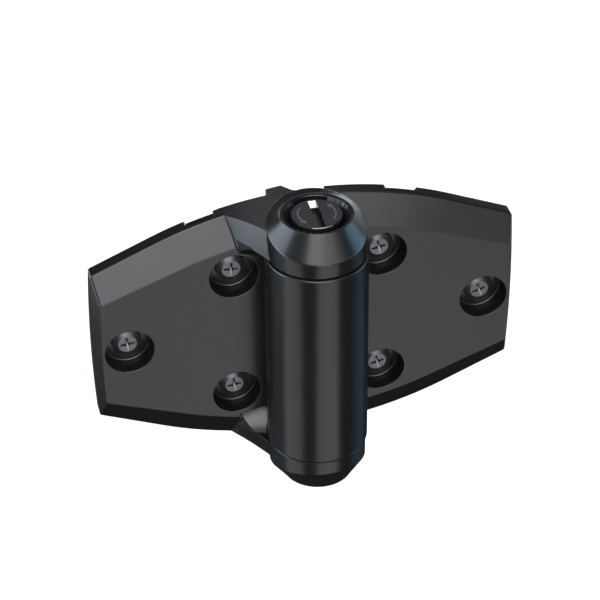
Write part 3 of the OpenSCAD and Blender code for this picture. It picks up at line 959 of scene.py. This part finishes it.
@dataclass
class Knuckle:
    """One knuckle of the gate leaf: a straight side up to a slanted edge, a cone from
    there to the flat rim, and the well inside.
    """

    end: End
    r: float = 19.3
    face: float = 44.75
    edge: float = 55.75
    slant: float = 4.9
    edge_round: float = 0.5
    seat: float = 61.25
    top: float = 61.7
    rim_r: float = 14.26
    well_r: float = 13.2
    bore_r: float = 13.0
    well_floor: float = 55.25
    mid: float = MID
    steps: int = 160

    def outside(self, turn: float) -> list[Point]:
        """The outer profile at one place round the axis.

        Args:
            turn: Angle from +X towards +Y, in radians.

        Returns:
            Points of (radius, height), upwards and in to the foot of the rim.
        """
        crest = Vector((self.r, self.edge + self.slant * math.sin(turn)))
        foot = Vector((self.rim_r, self.seat))
        low = crest - Vector((0.0, self.edge_round))
        high = crest + (foot - crest).normalized() * self.edge_round
        arc = bend(low, crest, high, (0.0, 0.25, 0.5, 0.75, 1.0))
        line = [high.lerp(foot, t) for t in (0.5, 0.97)]
        return [(p.x, p.y) for p in arc + line]

    def build(self) -> bpy.types.Object:
        """Raise the knuckle ring by ring.

        Returns:
            The knuckle.
        """
        f, t = self.face, self.top
        below = [(self.bore_r, f), (self.r - 0.45, f), (self.r - 0.13, f + 0.13),
                 (self.r, f + 0.45)]
        above = [(self.rim_r - 0.03, self.seat + 0.14), (self.rim_r - 0.17, t - 0.12),
                 (self.rim_r - 0.45, t), (self.well_r + 0.34, t), (self.well_r + 0.1, t - 0.1),
                 (self.well_r, t - 0.34), (self.well_r, self.well_floor),
                 (self.bore_r, self.well_floor), (self.bore_r, f)]
        turns = [2 * math.pi * i / self.steps for i in range(self.steps)]
        profiles = [below + self.outside(a) + above for a in turns]
        form = Form("knuckle").loft(([(r * math.cos(a), r * math.sin(a), z + self.mid)
                                      for a, (r, z) in zip(turns, level)]
                                     for level in zip(*profiles)), closed=False)
        if self.end is End.LOWER:
            form.move((0, 0, -self.mid)).flip((1, 1, -1)).move((0, 0, self.mid))
        return form.piece()


@dataclass
class Arm:
    """The hollow-fronted arm between the gate leaf and a knuckle."""

    end: End
    rim: Outline = RIM
    inner_z: float = 45.0
    tall: float = 15.0
    first_cut: float = -34.5
    cut_step: float = 2.4
    cuts: int = 14
    mid: float = MID
    root: Point = (-32.5, SHOULDER_Y)
    tip: Point = (-19.2, -2.9)
    hollow: float = 0.9
    back_y: float = BACK_Y
    face_y: float = FACE_Y
    fillet: float = 5.5
    brow: Outline = FACE
    groove_steps: int = 10
    groove_start: float = 0.2
    blend: float = 0.85
    bevel_end: float = 0.3127
    to_wall: tuple[float, float, float] = (0.47, -0.68, 0.56)
    top_in: float = 2.1
    foot_out: float = 0.2
    corner_r: float = 3.6
    corner_grows: float = 0.36
    corner_bend: float = 0.26
    corner_long: int = 21
    corner_faces: int = 14
    inside: tuple[Point, ...] = ((-17.0, -3.5), (-2.0, -2.0), (-1.0, 10.0), (-3.1, 23.8))
    lug: tuple[Point, ...] = ((-7.0, 28.7), (-13.2, 28.1), (-13.2, 24.2))

    @property
    def low(self) -> float:
        """Height of the arm's inner face, measured towards its own end."""
        return self.inner_z + self.mid * self.end.value

    def front(self, t: float) -> Vector:
        """A point of the hollow front line in plan, from root (0) to tip (1)."""
        run = Vector(self.tip) - Vector(self.root)
        out = Vector((-run.y, run.x)).normalized()
        return Vector(self.root) + run * t + out * self.hollow * 4 * t * (1 - t)

    def along(self, p: Vector) -> float:
        """How far a point lies from root (0) to tip (1)."""
        run = Vector(self.tip) - Vector(self.root)
        return (p.xy - Vector(self.root)).dot(run) / run.length_squared

    def wall(self, t: float, z: float) -> Vector:
        """A point of the front wall, which leans back a little towards its top.

        Args:
            t: Place along the front, from root (0) to tip (1).
            z: Height of the point.

        Returns:
            The point.
        """
        base = self.front(t)
        run = Vector(self.tip) - Vector(self.root)
        inward = Vector((-run.y, run.x)).normalized()
        share = (z - self.low) / (self.rim.z(base.x) - self.low)
        foot = self.foot_out * (1.0 - t)
        push = share * (self.top_in * (0.3 + 0.7 * t) + foot) - foot
        return Vector((*(base + inward * push), z))

    def plan(self) -> list[Point]:
        """The arm seen from above.

        Returns:
            Corners in order.
        """
        x0, y0 = self.root
        front = [tuple(self.front(i / 12)) for i in range(13)]
        start = [(x0 - 2.5, self.back_y - 0.2), (x0 - 2.5, y0 + 0.6)]
        return start + front + list(self.inside) + list(self.lug)

    def build(self) -> bpy.types.Object:
        """Raise the plan, trim it to the rim's arch and lean its front back.

        Returns:
            The arm.
        """
        low = self.low
        form = Form("arm").prism([(x, y, low) for x, y in self.plan()], (0, 0, self.tall))
        for i in range(self.cuts):
            cut = self.first_cut + self.cut_step * i
            geom = [*form.bm.verts, *form.bm.edges, *form.bm.faces]
            bmesh.ops.bisect_plane(form.bm, geom=geom, dist=WELD, plane_co=(cut, 0, 0),
                                   plane_no=(1, 0, 0))
        for v in form.bm.verts:
            if v.co.z > low + self.tall / 2:
                v.co.z = self.rim.z(v.co.x) - 0.02
        for v in form.bm.verts:
            t = self.along(v.co)
            if -0.01 < t < 1.01 and (v.co.xy - self.front(t)).length < 0.05:
                v.co = self.wall(t, v.co.z)
        form.soften(0.3 if self.end is End.UPPER else 0.42, 3, 30)
        return form.flip((1, 1, self.end.value)).piece()

    def solid_at(self, p: Vector) -> bool:
        """Whether a point on the front line's wall lies on the arm or its corner.

        Args:
            p: The point.

        Returns:
            True if there is material behind the wall there.
        """
        drop = p.z - (self.low - self.fillet)
        if drop <= 0:
            return False
        return p.z >= self.low or p.y >= self.face_y - self.fillet \
            + math.sqrt(max(self.fillet ** 2 - drop ** 2, 0.0))

    def groove(self) -> bpy.types.Object:
        """The hollow blend between the leaf's bevel and the arm's front.

        Returns:
            The blend, as one thin wedge along the corner.
        """
        deep = self.root[1] - self.face_y
        line = []
        for i in range(self.groove_steps + 1):
            z = self.rim.z(self.root[0])
            for _ in range(6):  # nears the height at which the wall meets the bevel
                x, y, z = self.wall(self.bevel_end * i / self.groove_steps, z)
                t = min(max((self.root[1] - y) / deep, 0.0), 1.0)
                z = self.rim.z(x) * (1 - t) + self.brow.z(x) * t
            line.append((Vector((x, y, z)),
                         self.groove_start + self.blend * i / self.groove_steps))
        end = line[-1][0]
        line += [(end - Vector((0, 0, drop)), reach)
                 for drop, reach in ((0.5, 0.7), (1.0, 0.35), (1.6, 0.1))]
        rings = []
        side = Vector(self.to_wall)
        for spot, reach in line:
            sink = -0.35 if spot.y > self.face_y + 0.1 else -0.1
            shelf = spot + Vector((-0.93, 0.0, sink)) * reach
            wall = reach
            while wall > 0.1 and not self.solid_at(spot + side * wall):
                wall -= 0.05
            arc = bend(shelf, spot, spot + side * wall, (0.0, 0.17, 0.34, 0.5, 0.66, 0.83, 1.0))
            # The ends sink a little, so that no open step is left at either side.
            arc[0] += Vector((0.02, 0.04, 0.0))
            arc[-1] += Vector((0.04, 0.02, 0.0))
            rings.append([spot + Vector((0.5, 0.6, -0.1)), *arc])
        return Form("groove").loft(rings).flip((1, 1, self.end.value)).piece()

    def corner(self) -> bpy.types.Object:
        """The hollow fillet between the leaf's face and the arm.

        Returns:
            The fillet.
        """
        low, up = self.low, self.end.value
        rings = []
        faces = self.corner_faces
        for i in range(self.corner_long):
            x = self.root[0] + i
            r = self.corner_r + self.corner_grows * i
            cy, cz = self.face_y - r, low - r
            h = self.corner_bend * r
            a, b = Vector((self.face_y, cz)), Vector((self.face_y, cz + h))
            c, d = Vector((cy + h, low)), Vector((cy, low))
            arc = [tuple(a * (1 - t) ** 3 + b * 3 * t * (1 - t) ** 2
                         + c * 3 * t * t * (1 - t) + d * t ** 3)
                   for t in (k / faces for k in range(faces + 1))]
            rings.append([(x, y, z) for y, z in ((self.face_y + 1.5, cz), *arc, (cy, low + 0.6),
                                                 (self.face_y + 1.5, low + 0.6))])
        corner = Form("corner").loft(rings).flip((1, 1, up)).piece()
        outline = [tuple(self.wall(self.along(Vector((*p, 0.0))), low).xy)
                   if 0 < k - 1 < 15 else p for k, p in enumerate(self.plan())]
        plan = Form("plan").prism([(x, y, low - 16) for x, y in outline], (0, 0, 18))
        Bench.carve(corner, plan.flip((1, 1, up)).piece(), "INTERSECT")
        Bench.carve(corner, Form("clear").rod(BARREL_ROOM, -REACH, REACH).piece())
        return corner


@dataclass
class PostSide:
    """The post leaf and its barrel."""

    paint: Palette
    knuckle_room: float = 19.8
    above: float = 42.4
    below: float = -44.1
    barrel_r: float = 19.2
    barrel_half: float = 50.0

    def build(self) -> None:
        """Make and hand over the post leaf."""
        leaf = Leaf(Side.POST, POST_START).build()
        for r, low, high in ((self.knuckle_room, self.above, REACH),
                             (self.knuckle_room, -REACH, self.below),
                             (self.barrel_r, -self.barrel_half, self.barrel_half)):
            Bench.carve(leaf, Form("clear").rod(r, low, high).piece())
        Bench.ready(leaf, "post_leaf_plate", "post", "body_black", self.paint.body, "post_leaf")
        Bench.ready(Barrel().build(), "post_leaf_barrel", "post", "body_black",
                    self.paint.body)


@dataclass
class GateSide:
    """The gate leaf with its arms and knuckles."""

    paint: Palette
    start_x: float = 2.5
    well_room: float = 18.0

    def build(self) -> None:
        """Make and hand over the gate leaf."""
        leaf = Leaf(Side.GATE, self.start_x).build()
        Bench.carve(leaf, Form("clear").rod(BARREL_ROOM, -REACH, REACH, 160).piece())
        Bench.ready(leaf, "gate_leaf_plate", "gate", "body_black", self.paint.body, "gate_leaf")
        for end in End:
            knuckle, arm = Knuckle(end).build(), Arm(end)
            front = arm.build()
            Bench.carve(front, Form("clear").rod(self.well_room, -REACH, REACH, 96).piece())
            for kind, obj in (("knuckle", knuckle), ("arm", front),
                              ("corner", arm.corner()), ("groove", arm.groove())):
                Bench.ready(obj, f"gate_{kind}_{end.name.lower()}", "gate", "body_black",
                            self.paint.body)


# ---------------------------------------------------------------------- screws


@dataclass
class Screw:
    """A cross-recess screw: coned black head, bare flat, thread and point."""

    turn: float
    seat_y: float = 20.2
    back_y: float = BACK_Y
    head_r: float = 6.0
    flat_r: float = 3.72
    edge: float = 1.3
    cone: float = 1.4
    neck_r: float = 2.95
    core_r: float = 2.0
    crest_r: float = 2.75
    out: float = 21.0
    point: float = 4.0
    pitch: float = 2.2
    steps: int = 20
    cross_reach: float = 3.2
    cross_half: float = 0.54
    cross_depth: float = 1.15
    cross_round: float = 0.12
    pit: tuple[Point, ...] = ((0.0, -1.7), (0.6, -1.2), (1.3, 0.5), (0.0, 0.5))

    def head(self) -> bpy.types.Object:
        """Spin the head and cut its recess. The flat takes the second finish.

        Returns:
            The head, along +Z with its seat at zero and the drive upwards.
        """
        e, top = self.edge, self.edge + self.cone
        lean = (self.head_r - self.flat_r) / self.cone
        profile = [(0.0, 0.0), (self.head_r - 0.25, 0.0), (self.head_r, 0.22),
                   (self.head_r, e - 0.25), (self.head_r - 0.1, e - 0.03),
                   (self.head_r - 0.36, e + 0.14),
                   (self.flat_r + lean * 0.12, top - 0.12), (self.flat_r + 0.05, top - 0.02),
                   (self.flat_r - 0.12, top), (0.0, top)]
        head = Form("head").turned(profile, 64).piece()
        for quarter in (0, 90):
            tool = Form("cross")
            reach, half = self.cross_reach, self.cross_half
            for v in tool.block((-reach, -half, top - self.cross_depth),
                                (reach, half, top + 0.4)):
                if v.co.z < top:
                    v.co.x *= 0.2
                    v.co.y *= 0.72
            tool.soften(self.cross_round)
            Bench.carve(head, tool.turn(quarter + self.turn).piece())
        pit = Form("pit").turned([(r, top + z) for r, z in self.pit], 32)
        Bench.carve(head, pit.piece())
        return head

    def shank(self) -> bpy.types.Object:
        """Make the neck, core, point and wound thread.

        Returns:
            The shank, pointing along -Z from the seat.
        """
        neck = self.back_y - self.seat_y + 0.5
        end = self.back_y - self.seat_y + self.out
        profile = [(0.0, 0.4), (self.neck_r, 0.4), (self.neck_r, -neck + 0.3),
                   (self.neck_r - 0.3, -neck), (self.core_r, -neck - 0.4),
                   (self.core_r, -end + self.point), (0.25, -end), (0.0, -end)]
        form = Form("shank").turned(profile, 40)
        ridge = [(self.core_r - 0.25, -0.55), (self.crest_r, -0.05), (self.crest_r, 0.05),
                 (self.core_r - 0.25, 0.55)]
        verts = [form.bm.verts.new((r, 0.0, z - neck - 1.2)) for r, z in ridge]
        edges = [form.bm.edges.new(pair) for pair in zip(verts, verts[1:] + verts[:1])]
        turns = (end - neck - 1.8) / self.pitch
        steps = int(turns * self.steps)
        made = bmesh.ops.spin(form.bm, geom=verts + edges, cent=(0, 0, 0), axis=(0, 0, 1),
                              dvec=(0, 0, -self.pitch / self.steps),
                              angle=2 * math.pi * steps / self.steps, steps=steps,
                              use_merge=False, use_duplicate=False)
        last = [g for g in made["geom_last"] if isinstance(g, bmesh.types.BMEdge)]
        form.close(edges)
        form.close(last)
        tail = -end + self.point
        for v in form.bm.verts:
            if v.co.z < tail and math.hypot(v.co.x, v.co.y) > 0.3:
                keep = max(0.12, (v.co.z + end) / self.point)
                v.co.x *= keep
                v.co.y *= keep
        bmesh.ops.recalc_face_normals(form.bm, faces=form.bm.faces)
        return form.piece()


@dataclass
class ScrewSet:
    """The three screws of one leaf, as heads and shanks."""

    side: Side
    paint: Palette
    turns: tuple[float, float, float]

    def build(self) -> None:
        """Make and hand over the screws."""
        owner = self.side.name.lower()
        for (x, z), turn, label in zip(Leaf(self.side, POST_START).spots, self.turns,
                                       ("upper", "lower", "outer")):
            model = Screw(turn)
            place = Matrix.Translation((x * self.side.value * MM, model.seat_y * MM, z * MM)) \
                @ Matrix.Rotation(math.radians(90), 4, "X")
            head, shank = model.head(), model.shank()
            head.name = f"{owner}_screw_{label}_head"
            shank.name = f"{owner}_screw_{label}_shank"
            Bench.dress(head, self.paint.head, self.paint.bare)
            for face in head.data.polygons:
                x, y, z = face.center / MM
                flat = face.normal.z > 0.9 and z > model.edge + model.cone - 0.02
                inside = math.hypot(x, y) < model.flat_r - 0.3 and z > 0.05
                face.material_index = int(flat or inside)
            Bench.dress(shank, self.paint.thread)
            for obj in (head, shank):
                obj.data.transform(place)
                Bench.shade(obj, 32.0)
            Bench.hand_over(head, owner, "screw_black", f"{owner}_screws")
            Bench.hand_over(shank, owner, "screw_black")


# ------------------------------------------------------------------- cap and well


@dataclass
class IndexRing:
    """The coned ring in the cap well, with raised ticks."""

    paint: Palette
    top: float = 60.4
    length: float = 6.0
    well_r: float = 13.2
    bore_r: float = 10.6
    cone: float = 2.8
    places: int = 30
    blank: int = 5
    pocket: float = 0.8
    tick: tuple[float, float, float] = (3.1, 0.72, 0.75)

    def build(self) -> None:
        """Make and hand over the ring."""
        t, b = self.top, self.top - self.length
        profile = [(self.bore_r, b), (self.well_r, b), (self.well_r, t - 0.1),
                   (self.well_r - 0.1, t), (self.well_r - 0.3, t),
                   (self.bore_r + 0.12, t - self.cone + 0.06),
                   (self.bore_r, t - self.cone - 0.12), (self.bore_r, b)]
        ring = Form("index_ring_cone").turned(profile, 120).piece()
        half = math.radians(180.0 * (self.blank + 0.6) / self.places)
        turns = [math.pi / 2 - half + 2 * half * i / 16 for i in range(17)]
        r0, r1 = self.bore_r - 1.0, self.well_r - 0.45
        sector = [(r1 * math.cos(a), r1 * math.sin(a)) for a in turns]
        sector += [(r0 * math.cos(a), r0 * math.sin(a)) for a in reversed(turns)]
        pocket = Form("pocket").prism([(x, y, t - self.cone - self.pocket) for x, y in sector],
                                      (0, 0, 5))
        Bench.carve(ring, pocket.piece())
        ticks = Form("index_ring_ticks")
        lean = math.atan2(self.cone, self.well_r - 0.3 - self.bore_r)
        spot = Matrix.Translation(((self.bore_r + self.well_r - 0.2) / 2, 0,
                                   t - self.cone / 2 + 0.12)) \
            @ Matrix.Rotation(-lean, 4, "Y") @ Matrix.Diagonal((*self.tick, 1.0))
        for i in range(self.places - self.blank):
            angle = 90 + (i + (self.blank + 1) / 2) * 360 / self.places
            bmesh.ops.create_cube(ticks.bm, size=1.0,
                                  matrix=Matrix.Rotation(math.radians(angle), 4, "Z") @ spot)
        marks = ticks.soften(0.14, 2).piece()
        Bench.ready(ring, ring.name, "gate", "cap_black", self.paint.ring, "index_ring")
        Bench.ready(marks, marks.name, "gate", "cap_black", self.paint.ring)


@dataclass
class TensionCap:
    """The slotted cap that sets the closing force."""

    paint: Palette
    top: float = 60.6
    r: float = 9.94
    face_r: float = 9.59
    shank_r: float = 10.55
    shoulder: float = 56.6
    bottom: float = 47.6
    slot_w: float = 3.1
    slot_depth: float = 3.4
    slot_reach: float = 9.0
    slot_turn: float = -1.7
    recess_r: float = 1.9
    socket: float = 4.6
    socket_top: float = 56.0
    arrow_r: float = 7.25
    arrow_h: float = 0.25
    arrow_half: float = 0.34
    arrow_round: float = 0.12
    lug: tuple[float, float, float, float] = (9.0, 11.7, 1.2, 2.4)
    seal_groove: tuple[float, float, float] = (0.9, 53.75, 55.65)

    def arrow(self, turn: float) -> bpy.types.Object:
        """One raised curved arrow.

        Args:
            turn: Turn about the cap's axis, in degrees.

        Returns:
            The arrow.
        """
        spine = [math.radians(a) for a in range(0, 76, 5)]
        rims = [[(r * math.cos(a), r * math.sin(a)) for a in spine]
                for r in (self.arrow_r + self.arrow_half, self.arrow_r - self.arrow_half)]
        end = spine[-1]
        radial = Vector((math.cos(end), math.sin(end)))
        ahead = Vector((-math.sin(end), math.cos(end)))
        mid = radial * self.arrow_r
        head = [mid + radial * 1.25 - ahead * 0.1, mid + ahead * 2.3, mid - radial * 1.25]
        pts = rims[0] + [(p.x, p.y) for p in head] + rims[1][::-1]
        form = Form("arrow").prism([(x, y, self.top - 0.1) for x, y in pts],
                                   (0, 0, self.arrow_h + 0.1))
        return form.soften(self.arrow_round, 2, 40).turn(turn).piece()

    def build(self) -> None:
        """Make and hand over the cap."""
        t = self.top
        profile = [(0.0, self.bottom), (self.shank_r, self.bottom),
                   (self.shank_r, self.shoulder - 0.4), (self.shank_r - 0.4, self.shoulder),
                   (self.r, self.shoulder + 0.1), (self.r, t - 0.42),
                   (self.r - 0.09, t - 0.17), (self.face_r, t), (0.0, t)]
        cap = Form("tension_cap").turned(profile, 120).piece()
        w, a, d = self.slot_w / 2, self.slot_reach, t - self.slot_depth
        side = [(-a, d), (a - 2.0, d), (a - 2.0, t - 2.05), (a, t - 0.05), (a, t + 1),
                (-a, t + 1)]
        slot = Form("slot").prism([(-w, y, z) for y, z in side], (2 * w, 0, 0))
        Bench.carve(cap, slot.turn(self.slot_turn).piece())
        Bench.carve(cap, Form("recess").rod(self.recess_r, d, t + 1, 48).piece())
        socket = Form("socket")
        s = self.socket
        socket.block((-s, -s, self.bottom - 3), (s, s, self.socket_top))
        Bench.carve(cap, socket.piece())
        deep, low, high = self.seal_groove
        r = self.shank_r - deep
        groove = Form("groove").turned([(r, low), (14, low), (14, high), (r, high),
                                        (r, low)], 96)
        Bench.carve(cap, groove.piece())
        lugs = Form("tension_cap_lugs")
        near, far, half, tall = self.lug
        for i in range(4):
            one = lugs.block((near, -half, self.bottom), (far, half, self.bottom + tall))
            bmesh.ops.rotate(lugs.bm, cent=(0, 0, 0), verts=one,
                             matrix=Matrix.Rotation(math.radians(90 * i), 3, "Z"))
        Bench.shade(cap)
        Bench.dress(cap, self.paint.cap, self.paint.insert)
        # Faces near the top that turn up and towards the front take the bright steel: a painted
        # highlight on the slot's rear ramp and the front of the top edge.
        for face in cap.data.polygons:
            if face.normal.z > 0.5 and face.normal.y < -0.5 and face.center.z > (t - 2.2) * MM:
                face.material_index = 1
        Bench.hand_over(cap, "cap", "cap_black", "adjuster")
        Bench.ready(lugs.soften(0.2).piece(), "tension_cap_lugs", "cap", "cap_black",
                    self.paint.cap)
        # The arrows take the paler plastic, a painted highlight for their lit outlines.
        for turn, name in ((134.0, "left"), (-46.0, "right")):
            Bench.ready(self.arrow(turn), f"tension_cap_arrow_{name}", "cap", "cap_black",
                        self.paint.mark)


@dataclass
class ReturnSpring:
    """The small coil under the cap."""

    paint: Palette
    foot: float = 36.6
    travel: float = 2.5

    def build(self, node: bpy.types.Object) -> None:
        """Make and hand over the coil.

        Args:
            node: The CAD coil, whose shape it takes.
        """
        form = Form("return_spring_coil")
        form.bm.from_mesh(node.data)
        bmesh.ops.transform(form.bm, matrix=node.matrix_world, verts=form.bm.verts)
        bmesh.ops.scale(form.bm, vec=(1 / MM,) * 3, verts=form.bm.verts)
        bmesh.ops.remove_doubles(form.bm, verts=form.bm.verts, dist=WELD)
        bmesh.ops.recalc_face_normals(form.bm, faces=form.bm.faces)
        coil = form.piece()
        Bench.shade(coil, 40.0, False)
        Bench.dress(coil, self.paint.spring)
        Bench.hand_over(coil, "arbor", "spring_steel", "return_spring")
        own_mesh(coil)


@dataclass
class InnerParts:
    """Finishes for the CAD pieces that are shown as they are."""

    paint: Palette

    def dress(self, nodes: dict[str, bpy.types.Object]) -> None:
        """Give each kept CAD piece its finish.

        Args:
            nodes: The CAD pieces by name.
        """
        p = self.paint
        finishes = {
            "upper_bush": p.bearing, "lower_bush": p.bearing,
            "upper_washer": p.washer, "lower_washer": p.washer,
            "adjuster_housing": p.housing, "adjuster_seal": p.rubber,
            "spring_arbor": p.zinc,
            "torsion_spring": p.spring, "spring_anchor": p.zinc,
            "spring_sleeve": p.bearing, "spindle": p.rod, "spindle_clip": p.spring,
            "lower_pin": p.housing, "end_plug": p.cap,
        }
        for name, finish in finishes.items():
            obj = nodes[name]
            if not obj.material_slots:
                obj.data.materials.append(finish)
            for place in obj.material_slots:
                place.material = finish
            LOG.info("%s: finish %s", name, finish.name)


# ----------------------------------------------------------------------- stage


@dataclass(frozen=True)
class Softbox:
    """A soft square lamp, placed by angles seen from the hinge."""

    name: str
    round_z: float
    raised: float
    wide: float
    tall: float
    level: float
    tint: tuple[float, float, float] = (1.0, 1.0, 1.0)
    away: float = 1.6

    @property
    def line(self) -> Vector:
        """Direction from the hinge; 0 degrees is the front, and 90 the right."""
        a, e = math.radians(self.round_z), math.radians(self.raised)
        return Vector((math.sin(a) * math.cos(e), -math.cos(a) * math.cos(e), math.sin(e)))

    @property
    def size(self) -> Point:
        """Width and height in metres that fill its two angles."""
        return tuple(2 * self.away * math.tan(math.radians(a) / 2)
                     for a in (self.wide, self.tall))


@dataclass
class Studio:
    """Camera, lamps, floor and surroundings."""

    sensor: float = 36.0
    focal_px: float = 2360.1
    frame_px: float = 600.0
    azimuth: float = 13.969
    elevation: float = 36.263
    roll: float = -0.457
    distance: float = 907.8
    target: tuple[float, float, float] = (-6.741, 0.0, 21.661)
    floor_z: float = -1150.0
    floor_level: float = 1.1
    wall_r: float = 8500.0
    wall_top: float = 100.0
    world_level: float = 0.08
    floor_half: float = 9000.0
    pale: float = 0.95
    flag_half: float = 3500.0
    flag_up: float = 210.0
    dark: float = 0.01
    wash_side: float = 18.0
    wash_up: float = 190.0
    boxes: tuple[Softbox, ...] = (
        Softbox("low_front", 10.0, -38.0, 38.0, 34.0, 1.36, (1.0, 0.95, 0.95), 0.9),
        Softbox("low_left", -70.0, -38.0, 34.0, 30.0, 1.05, (0.93, 0.97, 1.0), 0.9),
        Softbox("low_right", 95.0, -36.0, 30.0, 28.0, 0.22, (0.40, 0.74, 1.0), 0.9),
        Softbox("front", 3.0, -8.0, 26.0, 26.0, 2.10, (0.92, 0.96, 1.0)),
        Softbox("front_left", -17.0, 18.0, 28.0, 26.0, 3.50, (0.94, 0.95, 1.0)),
        Softbox("front_right", 13.0, 18.0, 32.0, 26.0, 2.20, (0.93, 0.95, 1.0)),
        Softbox("far_right", 37.0, 16.0, 16.0, 26.0, 0.90, (0.90, 0.94, 1.0)),
        Softbox("high_front", -14.0, 30.0, 48.0, 10.0, 1.60, (0.93, 0.95, 1.0)),
        Softbox("key", -6.0, 46.0, 46.0, 27.0, 5.60, (0.96, 0.97, 1.0)),
        Softbox("left", -104.0, 0.0, 50.0, 52.0, 5.00, (0.76, 0.89, 1.0)),
        Softbox("high_left", -80.0, 48.0, 50.0, 34.0, 2.00, (0.84, 0.90, 1.0)),
        Softbox("right", 85.0, -2.0, 33.0, 42.0, 2.65, (0.36, 0.72, 1.0)),
        Softbox("sky", 0.0, 86.0, 40.0, 40.0, 1.20, (0.93, 0.96, 1.0)),
        Softbox("back", 160.0, 46.0, 36.0, 17.0, 1.20, (0.93, 0.95, 1.0)),
        Softbox("rear_left", -159.0, -17.0, 40.0, 24.0, 1.60, (0.93, 0.96, 1.0)),
        Softbox("rear_right", 159.0, -17.0, 40.0, 24.0, 1.60, (0.93, 0.96, 1.0)),
    )

    def camera(self) -> None:
        """Stand the camera where the photograph was taken."""
        az, el, ro = (math.radians(a) for a in (self.azimuth, self.elevation, self.roll))
        ahead = Vector((math.sin(az) * math.cos(el), math.cos(az) * math.cos(el),
                        -math.sin(el)))
        right = Vector((math.cos(az), -math.sin(az), 0.0))
        up = right.cross(ahead)
        x = right * math.cos(ro) + up * math.sin(ro)
        y = up * math.cos(ro) - right * math.sin(ro)
        spot = (Vector(self.target) - ahead * self.distance) * MM
        data = bpy.data.cameras.new("camera")
        data.sensor_width = self.sensor
        data.lens = self.focal_px / self.frame_px * self.sensor
        data.clip_start = 0.01
        data.clip_end = 50.0
        obj = bpy.data.objects.new("camera", data)
        turn = Matrix((x, y, -ahead)).transposed().to_4x4()
        obj.matrix_world = Matrix.Translation(spot) @ turn
        bpy.context.scene.collection.objects.link(obj)
        bpy.context.scene.camera = obj

    def lamp(self, name: str, size: Point, level: float, tint: Corner, place: Matrix) -> None:
        """Hang one soft lamp that no camera sees.

        Args:
            name: The lamp's name.
            size: Its width and height, in metres.
            level: How bright its face is.
            tint: Its colour.
            place: Where it hangs; it shines along its own -Z.
        """
        data = bpy.data.lights.new(name, "AREA")
        data.shape = "RECTANGLE"
        data.size, data.size_y = size
        data.energy = level * math.pi * data.size * data.size_y
        data.color = tint
        obj = bpy.data.objects.new(name, data)
        obj.matrix_world = place
        obj.visible_camera = False
        bpy.context.scene.collection.objects.link(obj)

    def stand(self, form: Form, shade: float) -> bpy.types.Object:
        """Stand one plain matt piece of the studio.

        Args:
            form: Its shape.
            shade: How pale it is.

        Returns:
            The piece.
        """
        obj = form.piece()
        r = Recipe(obj.name)
        dust = r.noise(6.0, 3.0)
        Bench.dress(obj, r.finish({"Base Color": r.blend(dust, (shade,) * 3,
                                                         (shade * 1.02,) * 3),
                                   "Roughness": 0.9}))
        return obj

    def card(self, name: str, half: float, z: float, shade: float) -> bpy.types.Object:
        """Lay one level square card.

        Args:
            name: The card's name.
            half: Half its side, in millimetres.
            z: Its height, in millimetres.
            shade: How pale it is.

        Returns:
            The card.
        """
        form = Form(name)
        bmesh.ops.create_grid(form.bm, x_segments=2, y_segments=2, size=half)
        return self.stand(form.move((0, 0, z)), shade)

    def surroundings(self) -> None:
        """Lay the pale floor with its own level lamp, the low pale wall round it, the dark
        card that keeps the floor out of the glossy plastic, and the grey world.
        """
        self.card("floor", self.floor_half, self.floor_z, self.pale)
        wall = [(self.wall_r, self.floor_z), (self.wall_r, self.wall_top)]
        self.stand(Form("backdrop").turned(wall, 64), self.pale)
        flag = self.card("flag", self.flag_half, self.floor_z + self.flag_up, self.dark)
        flag.visible_camera = False
        flag.visible_shadow = False
        self.lamp("floor_wash", (self.wash_side, self.wash_side), self.floor_level,
                  (1.0, 1.0, 1.0),
                  Matrix.Translation((0.0, 0.0, (self.floor_z + self.wash_up) * MM)))
        world = bpy.data.worlds.new("studio")
        world.use_nodes = True
        back = world.node_tree.nodes["Background"]
        back.inputs["Color"].default_value = (0.96, 0.98, 1.0, 1.0)
        back.inputs["Strength"].default_value = self.world_level
        bpy.context.scene.world = world
        bpy.context.scene.view_settings.view_transform = "Standard"

    def build(self) -> None:
        """Set up the whole studio."""
        self.camera()
        self.surroundings()
        for box in self.boxes:
            face = box.line.to_track_quat("Z", "Y").to_matrix().to_4x4()
            self.lamp(box.name, box.size, box.level, box.tint,
                      Matrix.Translation(box.line * box.away) @ face)


def main() -> None:
    """Build the hinge on its frame."""
    logging.basicConfig(level=logging.INFO, format="%(name)s %(message)s")
    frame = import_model()
    paint = Palette()
    PostSide(paint).build()
    GateSide(paint).build()
    ScrewSet(Side.POST, paint, (12.0, 12.0, 18.0)).build()
    ScrewSet(Side.GATE, paint, (-3.0, 8.0, 5.0)).build()
    IndexRing(paint).build()
    TensionCap(paint).build()
    ReturnSpring(paint).build(frame["nodes"]["return_spring"])
    InnerParts(paint).dress(frame["nodes"])
    Studio().build()


if __name__ == "__main__":
    main()
